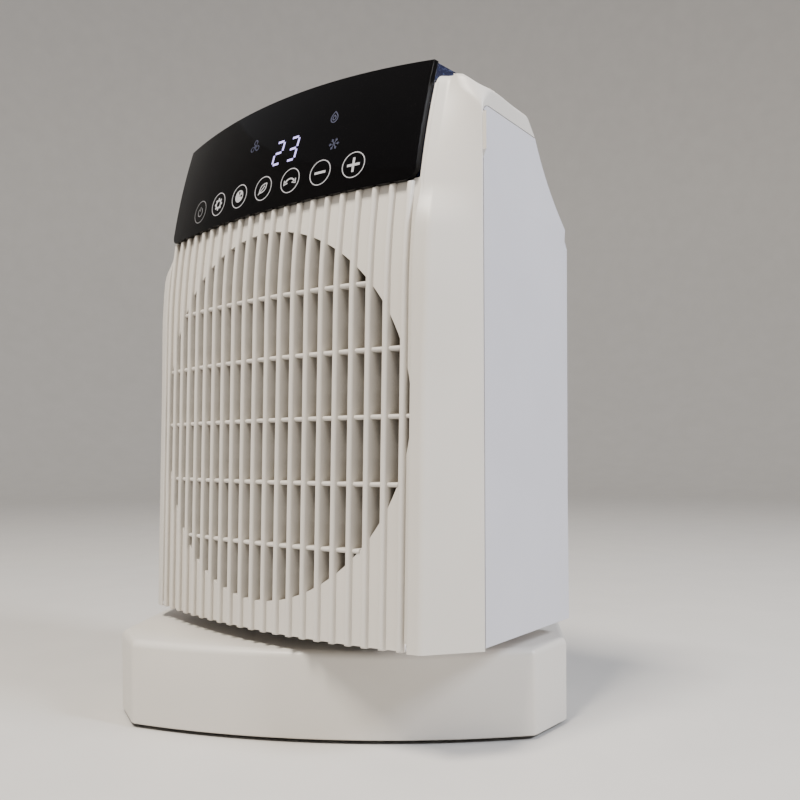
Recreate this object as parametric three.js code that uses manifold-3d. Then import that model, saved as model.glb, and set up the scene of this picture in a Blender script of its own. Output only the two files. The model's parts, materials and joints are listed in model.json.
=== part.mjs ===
// Oscillating fan heater: a heater head with a ribbed outlet and a touch panel, turning on a flat base.
// Millimetres, +Z up, z = 0 on the table. The origin is on the table under the middle of the whole object.
// Two frames are used inside: the base's own, and the head's, which turns about the swivel axis.
// In both, -y is the front, +x is the viewer's right, and x = y = 0 is the swivel axis.

import * as THREE from "three";
import { mergeVertices } from "three/addons/utils/BufferGeometryUtils.js";
import Module from "manifold-3d";

const wasm = await Module();
wasm.setup();

// ---- Driving dimensions -------------------------------------------------------------------

const GAP = 0.3; // left between pieces that touch
const WALL = 2.5; // moulded plastic wall
const OUTSIDE = 200; // farther out than any side of the object

// Where the swivel axis stands, and how far the head is turned at rest.
const SWIVEL_X = -1.5;
const SWIVEL_Y = -4.5;
const HEAD_TURN = THREE.MathUtils.degToRad(-34.6);

// Head: front surface, curved in plan and leaning back towards the top.
const FRONT_Y = -67.5; // middle of the front
const FRONT_RADIUS = 382.6; // its curve in plan
const LEAN_START = 195.8; // height where the front starts to lean back
const LEAN_RADIUS = 391.5;
const HEAD_BOTTOM = 52.8;
const REAR_SHELL_BOTTOM = 54.2;
const COLUMN_TOP = 335; // above everything, trimmed by the deck

// Head: plan corners at the bottom, and how much they lean with height.
const FRONT_CORNER_X = 100;
const FRONT_CORNER_SPREAD = 2.5; // the front corners end this much wider at the top
const SEAM_X = 118.9; // cheek meets side, where the two shells meet
const SEAM_Y = -32.6;
const REAR_X = 112.9;
const REAR_Y = 55.2;
const REAR_CORNER_RADIUS = 5;
const SIDE_LEAN_IN = 0.0104; // per mm of height
const SEAM_LEAN_BACK = 0.0148;
const CAP_SEAM_Z = 301.9; // the front shell caps the top above this height
const CAP_SEAM_RADIUS = 5;

// Head: top deck and the scooped slope behind it.
const DECK_Z = 311;
const SHOULDER_Z = 319.5; // beside the panel the deck rises to this
const SHOULDER_BACK_Y = -22;
const SHOULDER_END_Y = 2;
const SHOULDER_CROWN = [[114, 311.2], [104, 318.4], [99, SHOULDER_Z]]; // (x, z) of its fall to the sides
const DECK_BACK_Y = 13;
const SLOPE_TOP = [21.6, 302.4];
const SLOPE_BEND = [35.6, 281.4];
const SLOPE_FOOT = [REAR_Y, 262.3];

// Outlet: ribs over the whole front, a round opening, and cross ribs inside it.
const RIB_COUNT = 21;
const RIB_PITCH = 9.06;
const RIB_WIDTH = 2.6;
const RIB_TOP = 266;
const OUTLET_END_Y = FRONT_Y + 27; // the round opening is clear to this depth
const RIB_NOSE = 1; // the nose stands this much before the rib's flanks
const FIELD_HALF_WIDTH = 94.6;
const FIELD_DEPTH = 4.5; // wall between the ribs lies this far behind their noses
const FRONT_THICKNESS = 7; // from rib nose to the inside of the front wall
const FIN_DEPTH = 10; // ribs inside the round opening
const OUTLET_RADIUS = 93.9;
const OUTLET_Z = 161.7;
const CROSS_RIBS = 5;
const CROSS_PITCH = 31.2;
const CROSS_MIDDLE_Z = 159.3;
const CROSS_THICKNESS = 2.2;
const CROSS_SETBACK = 2;
const CROSS_DEPTH = 8.2;

// Touch panel module.
const PANEL_HALF_WIDTH = 93.9;
const PANEL_BOTTOM = 267;
const PANEL_TOP = 330; // in the middle
const PANEL_TOP_DROP = 4; // lower by this at its ends
const PANEL_CORNER = 5.5;
const PANEL_PROUD = 0.8;
const PANEL_THICKNESS = 3;
const HOUSING_BACK_Y = -5;
const HOUSING_CLEARANCE = 0.4; // the housing is this much narrower each side than the panel
const HOUSING_TOP_DROP = 0.8;

// Boards behind the panel.
const DISPLAY_BOARD_HALF_WIDTH = 84;
const DISPLAY_BOARD_LOW = 271;
const DISPLAY_BOARD_HIGH = 318;
const DISPLAY_BOARD_FOOT_Y = -46.4;
const DISPLAY_BOARD_LEAN = 0.254; // back per mm of height
const BOARD_THICKNESS = 1.6;
const DISPLAY_X = [1.5, 26.5];
const DISPLAY_Z = [288, 306];
const POWER_BOARD_HALF_WIDTH = 60;
const POWER_BOARD_Y = -2;
const POWER_BOARD_Z = [256, 296];
const RELAY_X = [-40, -14];
const RELAY_HALF_WIDTH = 9.5;
const RELAY_BACK_Y = 15;
const RELAY_Z = [262, 278];
const CAPACITOR_RADIUS = 6;
const CAPACITOR_X = 18;
const CAPACITOR_Z = 270;
const CAPACITOR_BACK_Y = 20;
const SENSOR_X = 92;
const SENSOR_Y = 40;
const SENSOR_TOP = 70;

// Rear grille and the intake opening behind it.
const GRILLE_HALF_WIDTH = 110.2;
const GRILLE_BOTTOM = 65;
const GRILLE_TOP = 260;
const GRILLE_BACK_Y = 59.8;
const INTAKE_HALF_WIDTH = 84;
const INTAKE_BOTTOM = 78;
const INTAKE_TOP = 246;
const INTAKE_CORNER = 12;
const SLOT_ROWS = 12;
const SLOT_ROW_PITCH = 13.5;
const SLOT_HEIGHT = 8;
const SLOT_COLUMNS = 3;
const SLOT_COLUMN_PITCH = 55;
const SLOT_WIDTH = 50;

// Base.
const BASE_FRONT_CORNER = [104.2, -54.1];
const BASE_BULGE = 15.7;
const BASE_SIDE = [120.7, -27.2];
const BASE_REAR_SIDE = [120.7, 40];
const BASE_REAR_CORNER = [106, 58];
const BASE_BOTTOM = 2;
const BASE_DECK = 45.6;
const BASE_RIM_RADIUS = 4;
const PLATE_LOW = 2.5;
const PLATE_HIGH = 5;
const FEET = [[-80, -42], [80, -42], [-80, 42], [80, 42]];
const BASE_SCREWS = [[-104, -22], [104, -22], [-104, 36], [104, 36]];

// Swivel and its drive: a pinion on the base's motor turns the gear on the head's hub.
const HUB_RADIUS = 14;
const HUB_BORE = 9;
const HUB_LOW = 31;
const HUB_FLAT = 12.5;
const TURNTABLE_RADIUS = 31;
const TURNTABLE_LOW = 51;
const GEAR_MODULE = 1.6;
const GEAR_TEETH = 30;
const PINION_TEETH = 15;
const GEAR_LOW = 35.5;
const GEAR_HIGH = 42.5;
const CLIP_LOW = 33.75; // the clip under the gear
const CLIP_HIGH = 35.05;
const CLIP_RADIUS = 18;
const GROOVE_RADIUS = 12.1;
const OSCILLATOR_RADIUS = 20;
const OSCILLATOR_TOP = 26;
const OSCILLATOR_BOSS_TOP = 31.5;
const PINION_SHAFT_RADIUS = 3;
const PINION_SHAFT_LOW = 14;
const BACKLASH = 0.7;
const PINION_X = (-GEAR_MODULE * (GEAR_TEETH + PINION_TEETH)) / 2;

// Fan and heater, on the outlet's axis.
const FAN_BLADES = 7;
const FAN_RADIUS = 68;
const FAN_HUB_RADIUS = 18;
const FAN_FRONT_Y = -4;
const FAN_BACK_Y = 12;
const SHAFT_RADIUS = 2;
const MOTOR_RADIUS = 24;
const MOTOR_FRONT_Y = 20;
const MOTOR_BACK_Y = 46;
const HEATER_HALF_WIDTH = 67;
const HEATER_HALF_HEIGHT = 49;
const HEATER_FRONT_Y = -37;
const HEATER_BACK_Y = -14;
const HEATER_ROWS = 4;
const HEATER_COLUMNS = 8;
const HEATER_ROW_WALL = 3;
const HEATER_COLUMN_WALL = 2;
const DUCT_RADIUS = 88.5; // round the heater
const DUCT_THROAT_RADIUS = 73.5; // round the fan
const DUCT_FLANGE_RADIUS = 90;
const DUCT_FRONT_Y = -41;
const DUCT_NECK_Y = [-10, -3];
const DUCT_FLANGE_Y = 15.5;
const FRAME_Y = [-33, -29]; // the plate that carries the heater
const CUTOUT_RADIUS = 8;
const BRACKET_Y = [27, 37];

// Case screws: in towers of the rear shell, biting into bosses of the front shell.
const CASE_SCREWS = [[-103, 70], [103, 70], [-103, 288], [103, 288]];
const TOWER_END_Y = -26;
const TURNTABLE_SCREW_CIRCLE = 24;

// ---- Geometry helpers ---------------------------------------------------------------------

// A closed three.js geometry as a solid that can be cut and joined, its faces turned outwards.
function solid(geometry) {
  const bare = geometry.clone();
  bare.deleteAttribute("normal");
  bare.deleteAttribute("uv");
  const merged = mergeVertices(bare, 1e-3);
  const points = merged.attributes.position.array;
  const faces = [];
  let volume = 0;
  for (let i = 0; i < merged.index.count; i += 3) {
    const [a, b, c] = [0, 1, 2].map((k) => merged.index.getX(i + k));
    if (a === b || b === c || c === a) continue;
    faces.push(a, b, c);
    const [p, q, r] = [a, b, c].map((k) => new THREE.Vector3().fromArray(points, 3 * k));
    volume += p.dot(q.cross(r));
  }
  if (volume < 0) faces.reverse();
  const mesh = new wasm.Mesh({
    numProp: 3,
    vertProperties: new Float32Array(points),
    triVerts: new Uint32Array(faces),
  });
  return new wasm.Manifold(mesh);
}

const join = (...pieces) => pieces.reduce((sum, piece) => sum.add(piece));
const cut = (piece, ...tools) => tools.reduce((rest, tool) => rest.subtract(tool), piece);

function shapeOf(outline) {
  return new THREE.Shape(outline.map(([across, up]) => new THREE.Vector2(across, up)));
}

function extruded(outline, depth) {
  return new THREE.ExtrudeGeometry(shapeOf(outline), { depth, bevelEnabled: false, curveSegments: 8 });
}

// An (x, y) outline between two heights.
function alongZ(outline, low, high) {
  return solid(extruded(outline, high - low).translate(0, 0, low));
}

// A (y, z) outline between two x.
function alongX(outline, low, high) {
  const turn = new THREE.Matrix4().makeBasis(
    new THREE.Vector3(0, 1, 0),
    new THREE.Vector3(0, 0, 1),
    new THREE.Vector3(1, 0, 0),
  );
  return solid(extruded(outline, high - low).applyMatrix4(turn).translate(low, 0, 0));
}

// An (x, z) outline between two y.
function alongY(outline, low, high) {
  return solid(extruded(outline, high - low).rotateX(Math.PI / 2).translate(0, high, 0));
}

function block(lowX, highX, lowY, highY, lowZ, highZ) {
  const box = new THREE.BoxGeometry(highX - lowX, highY - lowY, highZ - lowZ);
  return solid(box.translate((lowX + highX) / 2, (lowY + highY) / 2, (lowZ + highZ) / 2));
}

function rodZ(radius, x, y, low, high, sides = 16) {
  const rod = new THREE.CylinderGeometry(radius, radius, high - low, sides).rotateX(Math.PI / 2);
  return solid(rod.translate(x, y, (low + high) / 2));
}

function rodY(radius, x, z, low, high, sides = 16) {
  const rod = new THREE.CylinderGeometry(radius, radius, high - low, sides);
  return solid(rod.translate(x, (low + high) / 2, z));
}

// A closed (radius, along) profile turned about the z axis, or about the y axis.
function turned(profile, sides) {
  const closed = [...profile, profile[0]].map(([radius, along]) => new THREE.Vector2(radius, along));
  return new THREE.LatheGeometry(closed, sides);
}

function turnedZ(profile, x, y, sides = 24) {
  return solid(turned(profile, sides).rotateX(Math.PI / 2).translate(x, y, 0));
}

function turnedY(profile, x, z, sides = 24) {
  return solid(turned(profile, sides).translate(x, 0, z));
}

// A block whose grid points are moved to where place(u, v, w) says; u, v and w run from 0 to 1.
function bentBlock(across, high, place) {
  const grid = new THREE.BoxGeometry(1, 1, 1, across, 1, high);
  const points = grid.attributes.position;
  for (let i = 0; i < points.count; i++) {
    const [x, y, z] = place(points.getX(i) + 0.5, points.getY(i) + 0.5, points.getZ(i) + 0.5);
    points.setXYZ(i, x, y, z);
  }
  return solid(grid);
}

// A column whose cross-section changes with height: rings of [x, y, z] points, lowest first.
function column(rings) {
  const sides = rings[0].length;
  const grid = new THREE.CylinderGeometry(1, 1, 1, sides, rings.length - 1);
  const points = grid.attributes.position;
  for (let i = 0; i < points.count; i++) {
    const ring = rings[Math.round((points.getY(i) + 0.5) * (rings.length - 1))];
    const onAxis = Math.hypot(points.getX(i), points.getZ(i)) < 0.5;
    const turn = Math.atan2(points.getX(i), points.getZ(i)) / (2 * Math.PI);
    const step = (Math.round(turn * sides) + sides) % sides;
    const [x, y, z] = onAxis ? [0, 0, ring[0][2]] : ring[step];
    points.setXYZ(i, x, y, z);
  }
  return solid(grid);
}

// A convex outline with every edge moved inwards by a distance.
function inset(outline, distance) {
  const count = outline.length;
  const turning = outline.reduce((sum, [x, y], i) => {
    const [nextX, nextY] = outline[(i + 1) % count];
    return sum + x * nextY - y * nextX;
  }, 0);
  const inwards = Math.sign(turning) * distance;
  const edges = outline.map(([x, y], i) => {
    const [nextX, nextY] = outline[(i + 1) % count];
    const length = Math.hypot(nextX - x, nextY - y);
    const across = [(nextX - x) / length, (nextY - y) / length];
    return { x: x - across[1] * inwards, y: y + across[0] * inwards, across };
  });
  return edges.map((edge, i) => {
    const before = edges[(i + count - 1) % count];
    const bend = before.across[0] * edge.across[1] - before.across[1] * edge.across[0];
    if (Math.abs(bend) < 1e-6) return [edge.x, edge.y];
    const reach = ((edge.x - before.x) * edge.across[1] - (edge.y - before.y) * edge.across[0]) / bend;
    return [before.x + before.across[0] * reach, before.y + before.across[1] * reach];
  });
}

// Points of an arc, from one angle to another in degrees.
function arc(centreX, centreY, radius, from, to, steps) {
  return Array.from({ length: steps + 1 }, (_, i) => {
    const angle = THREE.MathUtils.degToRad(from + ((to - from) * i) / steps);
    return [centreX + radius * Math.cos(angle), centreY + radius * Math.sin(angle)];
  });
}

function roundedBox(halfWidth, low, high, radius) {
  return [
    ...arc(halfWidth - radius, low + radius, radius, -90, 0, 3),
    ...arc(halfWidth - radius, high - radius, radius, 0, 90, 3),
    ...arc(-halfWidth + radius, high - radius, radius, 90, 180, 3),
    ...arc(-halfWidth + radius, low + radius, radius, 180, 270, 3),
  ];
}

const mirrored = (outline) => outline.map(([x, y]) => [-x, y]).reverse();

// ---- Materials and nodes ------------------------------------------------------------------

const finish = (color, roughness, metalness = 0) => ({ color, roughness, metalness });
const WHITE_PLASTIC = finish(0xe9e6df, 0.42);
const SHELL_PLASTIC = finish(0xdedde2, 0.42);
const GLOSS_BLACK = finish(0x0b0b0d, 0.08);
const PANEL_SIDE = finish(0x10163a, 0.2);
const RUBBER = finish(0x222223, 0.85);
const STEEL = finish(0xb6b8ba, 0.35, 1);
const ZINC = finish(0xc4c6c8, 0.3, 1);
const ALUMINIUM = finish(0xc9cbcd, 0.4, 1);
const BOARD = finish(0x2c6b3c, 0.55);
const DARK_PLASTIC = finish(0x26272a, 0.5);
const HEAT_PLASTIC = finish(0x3b3734, 0.6);
const NYLON = finish(0xd9d6cc, 0.5);
const FILTER_MESH = finish(0x4a4c50, 0.8);
const RELAY_BLUE = finish(0x1d4f93, 0.45);
const CAPACITOR_SLEEVE = finish(0x222a44, 0.4);

function show(group, name, shape, { color, roughness, metalness }) {
  const mesh = shape.getMesh();
  const geometry = new THREE.BufferGeometry();
  geometry.setAttribute("position", new THREE.BufferAttribute(new Float32Array(mesh.vertProperties), 3));
  geometry.setIndex(new THREE.BufferAttribute(new Uint32Array(mesh.triVerts), 1));
  const piece = new THREE.Mesh(geometry, new THREE.MeshStandardMaterial({ color, roughness, metalness }));
  piece.name = name;
  group.add(piece);
  return piece;
}

// A pan-head screw about the z axis: head from z = 0 up, shank down.
function screwProfile(headRadius, headHeight, shankRadius, shankLength) {
  return [
    [0, -shankLength],
    [shankRadius, -shankLength + 1],
    [shankRadius, 0],
    [headRadius, 0],
    [headRadius, headHeight * 0.5],
    [headRadius * 0.6, headHeight],
    [0, headHeight],
  ];
}

const screwSolid = (...size) => solid(turned(screwProfile(...size), 10).rotateX(Math.PI / 2));

// ---- Head shape ---------------------------------------------------------------------------

const bulgeBack = (x) => FRONT_RADIUS - Math.sqrt(FRONT_RADIUS ** 2 - x * x);
const leanBack = (z) => Math.max(0, z - LEAN_START) ** 2 / (2 * LEAN_RADIUS);
const frontY = (x, z) => FRONT_Y + bulgeBack(x) + leanBack(z);
const seamX = (z) => SEAM_X - SIDE_LEAN_IN * (z - HEAD_BOTTOM);
const seamY = (z) => SEAM_Y + SEAM_LEAN_BACK * (z - HEAD_BOTTOM);
const rearX = (z) => REAR_X - SIDE_LEAN_IN * (z - HEAD_BOTTOM);

function frontCornerX(z) {
  const share = THREE.MathUtils.smoothstep(z, LEAN_START, LEAN_START + 60);
  return FRONT_CORNER_X + FRONT_CORNER_SPREAD * share;
}

// Plan outline of the head at one height, anticlockwise from the front left corner.
function headOutline(z) {
  const corner = frontCornerX(z);
  const frontSteps = 14;
  const front = Array.from({ length: frontSteps + 1 }, (_, i) => {
    const x = corner * ((2 * i) / frontSteps - 1);
    return [x, frontY(x, z)];
  });
  const r = REAR_CORNER_RADIUS;
  const right = [[seamX(z), seamY(z)], ...arc(rearX(z) - r, REAR_Y - r, r, 0, 90, 3)];
  return [...front, ...right, ...mirrored(right)];
}

// Heights of the rings: one long straight stretch, then closer steps where the front leans.
function leaningHeights(low, high, steps) {
  const rest = Array.from({ length: steps + 1 }, (_, i) => LEAN_START + ((high - LEAN_START) * i) / steps);
  return [low, ...rest];
}

function headColumn(distance, low) {
  const heights = leaningHeights(low, COLUMN_TOP, 8);
  return column(heights.map((z) => inset(headOutline(z), distance).map(([x, y]) => [x, y, z])));
}

// Side view outline under the deck and the rear slope, lowered by a distance.
function underDeck(distance) {
  const slopePoints = [SLOPE_TOP, SLOPE_BEND, SLOPE_FOOT].map(([y, z]) => {
    return new THREE.Vector2(y - distance * 0.77, z - distance * 0.64);
  });
  const slope = new THREE.QuadraticBezierCurve(...slopePoints);
  const foot = [SLOPE_FOOT[0] + 20, SLOPE_FOOT[1] - 19 - distance];
  return alongX(
    [
      [-OUTSIDE / 2, 0],
      [-OUTSIDE / 2, SHOULDER_Z - distance],
      [SHOULDER_BACK_Y, SHOULDER_Z - distance],
      [SHOULDER_END_Y, DECK_Z - distance],
      [DECK_BACK_Y, DECK_Z - distance],
      ...slope.getPoints(5).map((point) => [point.x, point.y]),
      foot,
      [foot[0], 0],
    ],
    -OUTSIDE,
    OUTSIDE,
  );
}

// Front view outline under the shoulders, which fall away to the sides.
function underCrown(distance) {
  const right = SHOULDER_CROWN.map(([x, z]) => [x, z - distance]);
  const edge = [[OUTSIDE, 0], [OUTSIDE, right[0][1]]];
  const outline = [...edge, ...right];
  return alongY([...outline, ...mirrored(outline)], -OUTSIDE, OUTSIDE);
}

// The slab between two depths behind the front surface.
function frontSlab(halfWidth, low, high, near, far, across = 12) {
  const heights = leaningHeights(low, high, 4);
  return bentBlock(across, heights.length - 1, (u, v, w) => {
    const x = halfWidth * (2 * u - 1);
    const z = heights[Math.round(w * (heights.length - 1))];
    return [x, frontY(x, z) + (v > 0.5 ? far : near), z];
  });
}

// Everything behind the seam between the two shells, with the seam moved by a distance.
function behindSeam(shift) {
  const top = CAP_SEAM_Z - shift;
  const low = 40;
  const turnY = seamY(top) + shift + CAP_SEAM_RADIUS;
  const corner = arc(turnY, top - CAP_SEAM_RADIUS, CAP_SEAM_RADIUS, 180, 90, 4);
  return alongX([[seamY(low) + shift, low], ...corner, [OUTSIDE, top], [OUTSIDE, low]], -OUTSIDE, OUTSIDE);
}

const headOuter = headColumn(0, HEAD_BOTTOM).intersect(underDeck(0)).intersect(underCrown(0));
const innerFloor = REAR_SHELL_BOTTOM + WALL;
const headInner = headColumn(WALL, innerFloor)
  .intersect(underDeck(WALL))
  .intersect(underCrown(WALL))
  .intersect(frontSlab(OUTSIDE * 0.6, innerFloor - 1, COLUMN_TOP, FRONT_THICKNESS, OUTSIDE));

// ---- Front shell --------------------------------------------------------------------------

// One rib: a thin bar following the front, its nose in the middle of its width.
function rib(x) {
  const heights = leaningHeights(HEAD_BOTTOM, RIB_TOP, 4);
  return bentBlock(2, heights.length - 1, (u, v, w) => {
    const z = heights[Math.round(w * (heights.length - 1))];
    const nose = frontY(x, z) + RIB_NOSE * Math.abs(2 * u - 1);
    return [x + RIB_WIDTH * (u - 0.5), v > 0.5 ? frontY(x, z) + FIN_DEPTH : nose, z];
  });
}

function crossRib(z) {
  const reach = Math.sqrt(OUTLET_RADIUS ** 2 - (z - OUTLET_Z) ** 2) + 1;
  return bentBlock(6, 1, (u, v, w) => {
    const x = reach * (2 * u - 1);
    const depth = v > 0.5 ? CROSS_DEPTH : CROSS_SETBACK;
    return [x, frontY(x, z) + depth, z + CROSS_THICKNESS * (w - 0.5)];
  });
}

function frontShell() {
  const outlet = rodY(OUTLET_RADIUS, 0, OUTLET_Z, -OUTSIDE, OUTLET_END_Y, 40);
  const field = frontSlab(FIELD_HALF_WIDTH, HEAD_BOTTOM - 1, RIB_TOP + GAP, -FIELD_DEPTH, FIELD_DEPTH);
  const bayHalfWidth = PANEL_HALF_WIDTH + GAP;
  const panelBay = block(
    -bayHalfWidth, bayHalfWidth,
    -OUTSIDE, HOUSING_BACK_Y + GAP,
    RIB_TOP + GAP, OUTSIDE * 2,
  );
  let shell = cut(headOuter, headInner, behindSeam(-GAP / 2), field, panelBay, outlet);

  const ribs = [];
  for (let i = 0; i < RIB_COUNT; i++) {
    ribs.push(rib(RIB_PITCH * (i - (RIB_COUNT - 1) / 2)));
  }
  for (let i = 0; i < CROSS_RIBS; i++) {
    ribs.push(crossRib(CROSS_MIDDLE_Z + CROSS_PITCH * (i - (CROSS_RIBS - 1) / 2)));
  }
  shell = join(shell, ...ribs);

  for (const [x, z] of CASE_SCREWS) {
    const start = frontY(FRONT_CORNER_X, z) + 3;
    const boss = rodY(4.4, x, z, start, TOWER_END_Y - GAP, 12);
    shell = cut(join(shell, boss.intersect(headOuter)), rodY(1.8, x, z, start + 4, TOWER_END_Y + 5, 12));
  }
  return shell;
}

// ---- Rear shell, grille and filter --------------------------------------------------------

function rearShell() {
  const intakeOutline = roundedBox(INTAKE_HALF_WIDTH, INTAKE_BOTTOM, INTAKE_TOP, INTAKE_CORNER);
  const intake = alongY(intakeOutline, REAR_Y - 8, REAR_Y + 8);
  const floorCut = block(-OUTSIDE, OUTSIDE, -OUTSIDE, OUTSIDE, 0, REAR_SHELL_BOTTOM);
  let shell = cut(headOuter.intersect(behindSeam(GAP / 2)), headInner, floorCut, intake);

  for (const [x, z] of CASE_SCREWS) {
    const tower = rodY(5.2, x, z, TOWER_END_Y, REAR_Y, 12).intersect(headOuter);
    const counterbore = rodY(3.7, x, z, TOWER_END_Y + WALL, OUTSIDE, 12);
    shell = cut(join(shell, tower), counterbore, rodY(1.8, x, z, TOWER_END_Y - 1, OUTSIDE, 12));
  }
  shell = cut(shell, rodZ(HUB_BORE, 0, 0, 50, 60, 20));
  for (const [x, y] of turntableScrewSpots()) shell = cut(shell, rodZ(1.9, x, y, 50, 60, 10));
  return shell;
}

function turntableScrewSpots() {
  return [90, 210, 330].map((angle) => arc(0, 0, TURNTABLE_SCREW_CIRCLE, angle, angle, 1)[0]);
}

// A rounded cover with rows of slots; its rim slopes in towards the back.
function rearGrille() {
  const front = REAR_Y + GAP;
  const middle = (GRILLE_TOP + GRILLE_BOTTOM) / 2;
  const rings = [[0, front], [0, GRILLE_BACK_Y - 2], [2, GRILLE_BACK_Y]].map(([step, y]) => {
    const outline = inset(roundedBox(GRILLE_HALF_WIDTH, GRILLE_BOTTOM, GRILLE_TOP, 9), step);
    return outline.map(([x, z]) => [x, z - middle, y]);
  });
  const upright = column(rings).rotate([90, 0, 0]).mirror([0, 1, 0]).translate([0, 0, middle]);
  let grille = upright;
  for (let row = 0; row < SLOT_ROWS; row++) {
    for (let col = 0; col < SLOT_COLUMNS; col++) {
      const x = SLOT_COLUMN_PITCH * (col - (SLOT_COLUMNS - 1) / 2) - SLOT_WIDTH / 2;
      const z = middle + SLOT_ROW_PITCH * (row - (SLOT_ROWS - 1) / 2) - SLOT_HEIGHT / 2;
      grille = cut(grille, block(x, x + SLOT_WIDTH, 0, OUTSIDE, z, z + SLOT_HEIGHT));
    }
  }
  return grille;
}

function dustFilter() {
  const low = INTAKE_BOTTOM + GAP;
  const high = INTAKE_TOP - GAP;
  const half = INTAKE_HALF_WIDTH - GAP;
  let filter = alongY(roundedBox(half, low, high, INTAKE_CORNER - GAP), REAR_Y - 2.3, REAR_Y - GAP);
  const windows = 4;
  const rim = 5;
  const width = (2 * half - rim) / windows;
  const height = (high - low - rim) / windows;
  for (let i = 0; i < windows; i++) {
    for (let j = 0; j < windows; j++) {
      const x = -half + rim + i * width;
      const z = low + rim + j * height;
      filter = cut(filter, block(x, x + width - rim, 0, OUTSIDE, z, z + height - rim));
    }
  }
  return filter;
}

// ---- Touch panel module -------------------------------------------------------------------

const panelTopZ = (x) => PANEL_TOP - PANEL_TOP_DROP * (x / PANEL_HALF_WIDTH) ** 2;

// Steps across the panel, closer together where its lower corners are rounded.
function panelSteps(halfWidth, radius) {
  const corner = arc(halfWidth - radius, 0, radius, 90, 0, 3).map(([x, rise]) => [x, radius - rise]);
  const middle = Array.from({ length: 9 }, (_, i) => [(halfWidth - radius) * (i / 5 - 0.8), 0]);
  return [...mirrored(corner), ...middle, ...corner];
}

function panelBlock(halfWidth, radius, near, far, low, topDrop) {
  const steps = panelSteps(halfWidth, radius);
  const high = 5;
  return bentBlock(steps.length - 1, high, (u, v, w) => {
    const [x, rise] = steps[Math.round(u * (steps.length - 1))];
    const bottom = low + rise;
    const z = bottom + (panelTopZ(x) - topDrop - bottom) * w;
    return [x, v > 0.5 ? far(x, z) : near(x, z), z];
  });
}

const panelFront = (x, z) => frontY(x, z) - PANEL_PROUD;
const panelBack = (x, z) => panelFront(x, z) + PANEL_THICKNESS;

function touchPanel() {
  return panelBlock(PANEL_HALF_WIDTH, PANEL_CORNER, panelFront, panelBack, PANEL_BOTTOM, 0);
}

// A box behind the panel, open towards it.
function panelHousing() {
  const half = PANEL_HALF_WIDTH - HOUSING_CLEARANCE;
  const nearFace = (x, z) => panelBack(x, z) + GAP;
  const beforeFace = (x, z) => nearFace(x, z) - 2 * WALL;
  const back = () => HOUSING_BACK_Y;
  const hollowBack = () => HOUSING_BACK_Y - WALL;
  const housing = panelBlock(half, PANEL_CORNER, nearFace, back, PANEL_BOTTOM, HOUSING_TOP_DROP);
  const hollow = panelBlock(
    half - WALL, PANEL_CORNER,
    beforeFace, hollowBack,
    PANEL_BOTTOM + WALL, HOUSING_TOP_DROP + WALL,
  );
  return cut(housing, hollow);
}

// A flat leaning slab between two heights, its near face given at each height.
function leaningSlab(lowX, highX, low, high, near, far) {
  return alongX([[near(low), low], [near(high), high], [far(high), high], [far(low), low]], lowX, highX);
}

const boardNear = (z) => DISPLAY_BOARD_FOOT_Y + DISPLAY_BOARD_LEAN * (z - DISPLAY_BOARD_LOW);

function displayBoard() {
  const half = DISPLAY_BOARD_HALF_WIDTH;
  const boardFar = (z) => boardNear(z) + BOARD_THICKNESS;
  return leaningSlab(-half, half, DISPLAY_BOARD_LOW, DISPLAY_BOARD_HIGH, boardNear, boardFar);
}

// The digit module between the board and the panel.
function ledDisplay() {
  const near = (z) => panelBack(DISPLAY_X[1], z) + 0.5;
  const far = (z) => boardNear(z) - GAP;
  return leaningSlab(...DISPLAY_X, ...DISPLAY_Z, near, far);
}

// ---- Power board --------------------------------------------------------------------------

const boardBack = POWER_BOARD_Y + BOARD_THICKNESS;

function powerBoard() {
  return block(-POWER_BOARD_HALF_WIDTH, POWER_BOARD_HALF_WIDTH, POWER_BOARD_Y, boardBack, ...POWER_BOARD_Z);
}

function relay(x) {
  return block(x - RELAY_HALF_WIDTH, x + RELAY_HALF_WIDTH, boardBack + GAP, RELAY_BACK_Y, ...RELAY_Z);
}

function supplyCapacitor() {
  return rodY(CAPACITOR_RADIUS, CAPACITOR_X, CAPACITOR_Z, boardBack + GAP, CAPACITOR_BACK_Y, 20);
}

// A thermistor bead on a stalk, standing on the shell's floor.
function roomSensor() {
  const stalk = rodZ(2, SENSOR_X, SENSOR_Y, innerFloor + 1, SENSOR_TOP, 10);
  const foot = block(
    SENSOR_X - 4, SENSOR_X + 4,
    SENSOR_Y - 3, SENSOR_Y + 3,
    innerFloor + GAP, innerFloor + 3,
  );
  return join(stalk, foot);
}

// ---- Heater and fan -----------------------------------------------------------------------

// A tube round the heater that narrows to a throat round the fan, with a flange behind.
function heaterDuct() {
  const [neckFront, neckBack] = DUCT_NECK_Y;
  const bevelStep = 1.2; // keeps the sloping wall as thick as the rest
  return turnedY(
    [
      [DUCT_RADIUS, DUCT_FRONT_Y],
      [DUCT_RADIUS, neckFront],
      [DUCT_THROAT_RADIUS, neckBack],
      [DUCT_THROAT_RADIUS, DUCT_FLANGE_Y],
      [DUCT_FLANGE_RADIUS, DUCT_FLANGE_Y],
      [DUCT_FLANGE_RADIUS, DUCT_FLANGE_Y + WALL],
      [DUCT_THROAT_RADIUS - WALL, DUCT_FLANGE_Y + WALL],
      [DUCT_THROAT_RADIUS - WALL, neckBack - bevelStep],
      [DUCT_RADIUS - WALL, neckFront - bevelStep],
      [DUCT_RADIUS - WALL, DUCT_FRONT_Y],
    ],
    0, OUTLET_Z, 32,
  );
}

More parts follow.
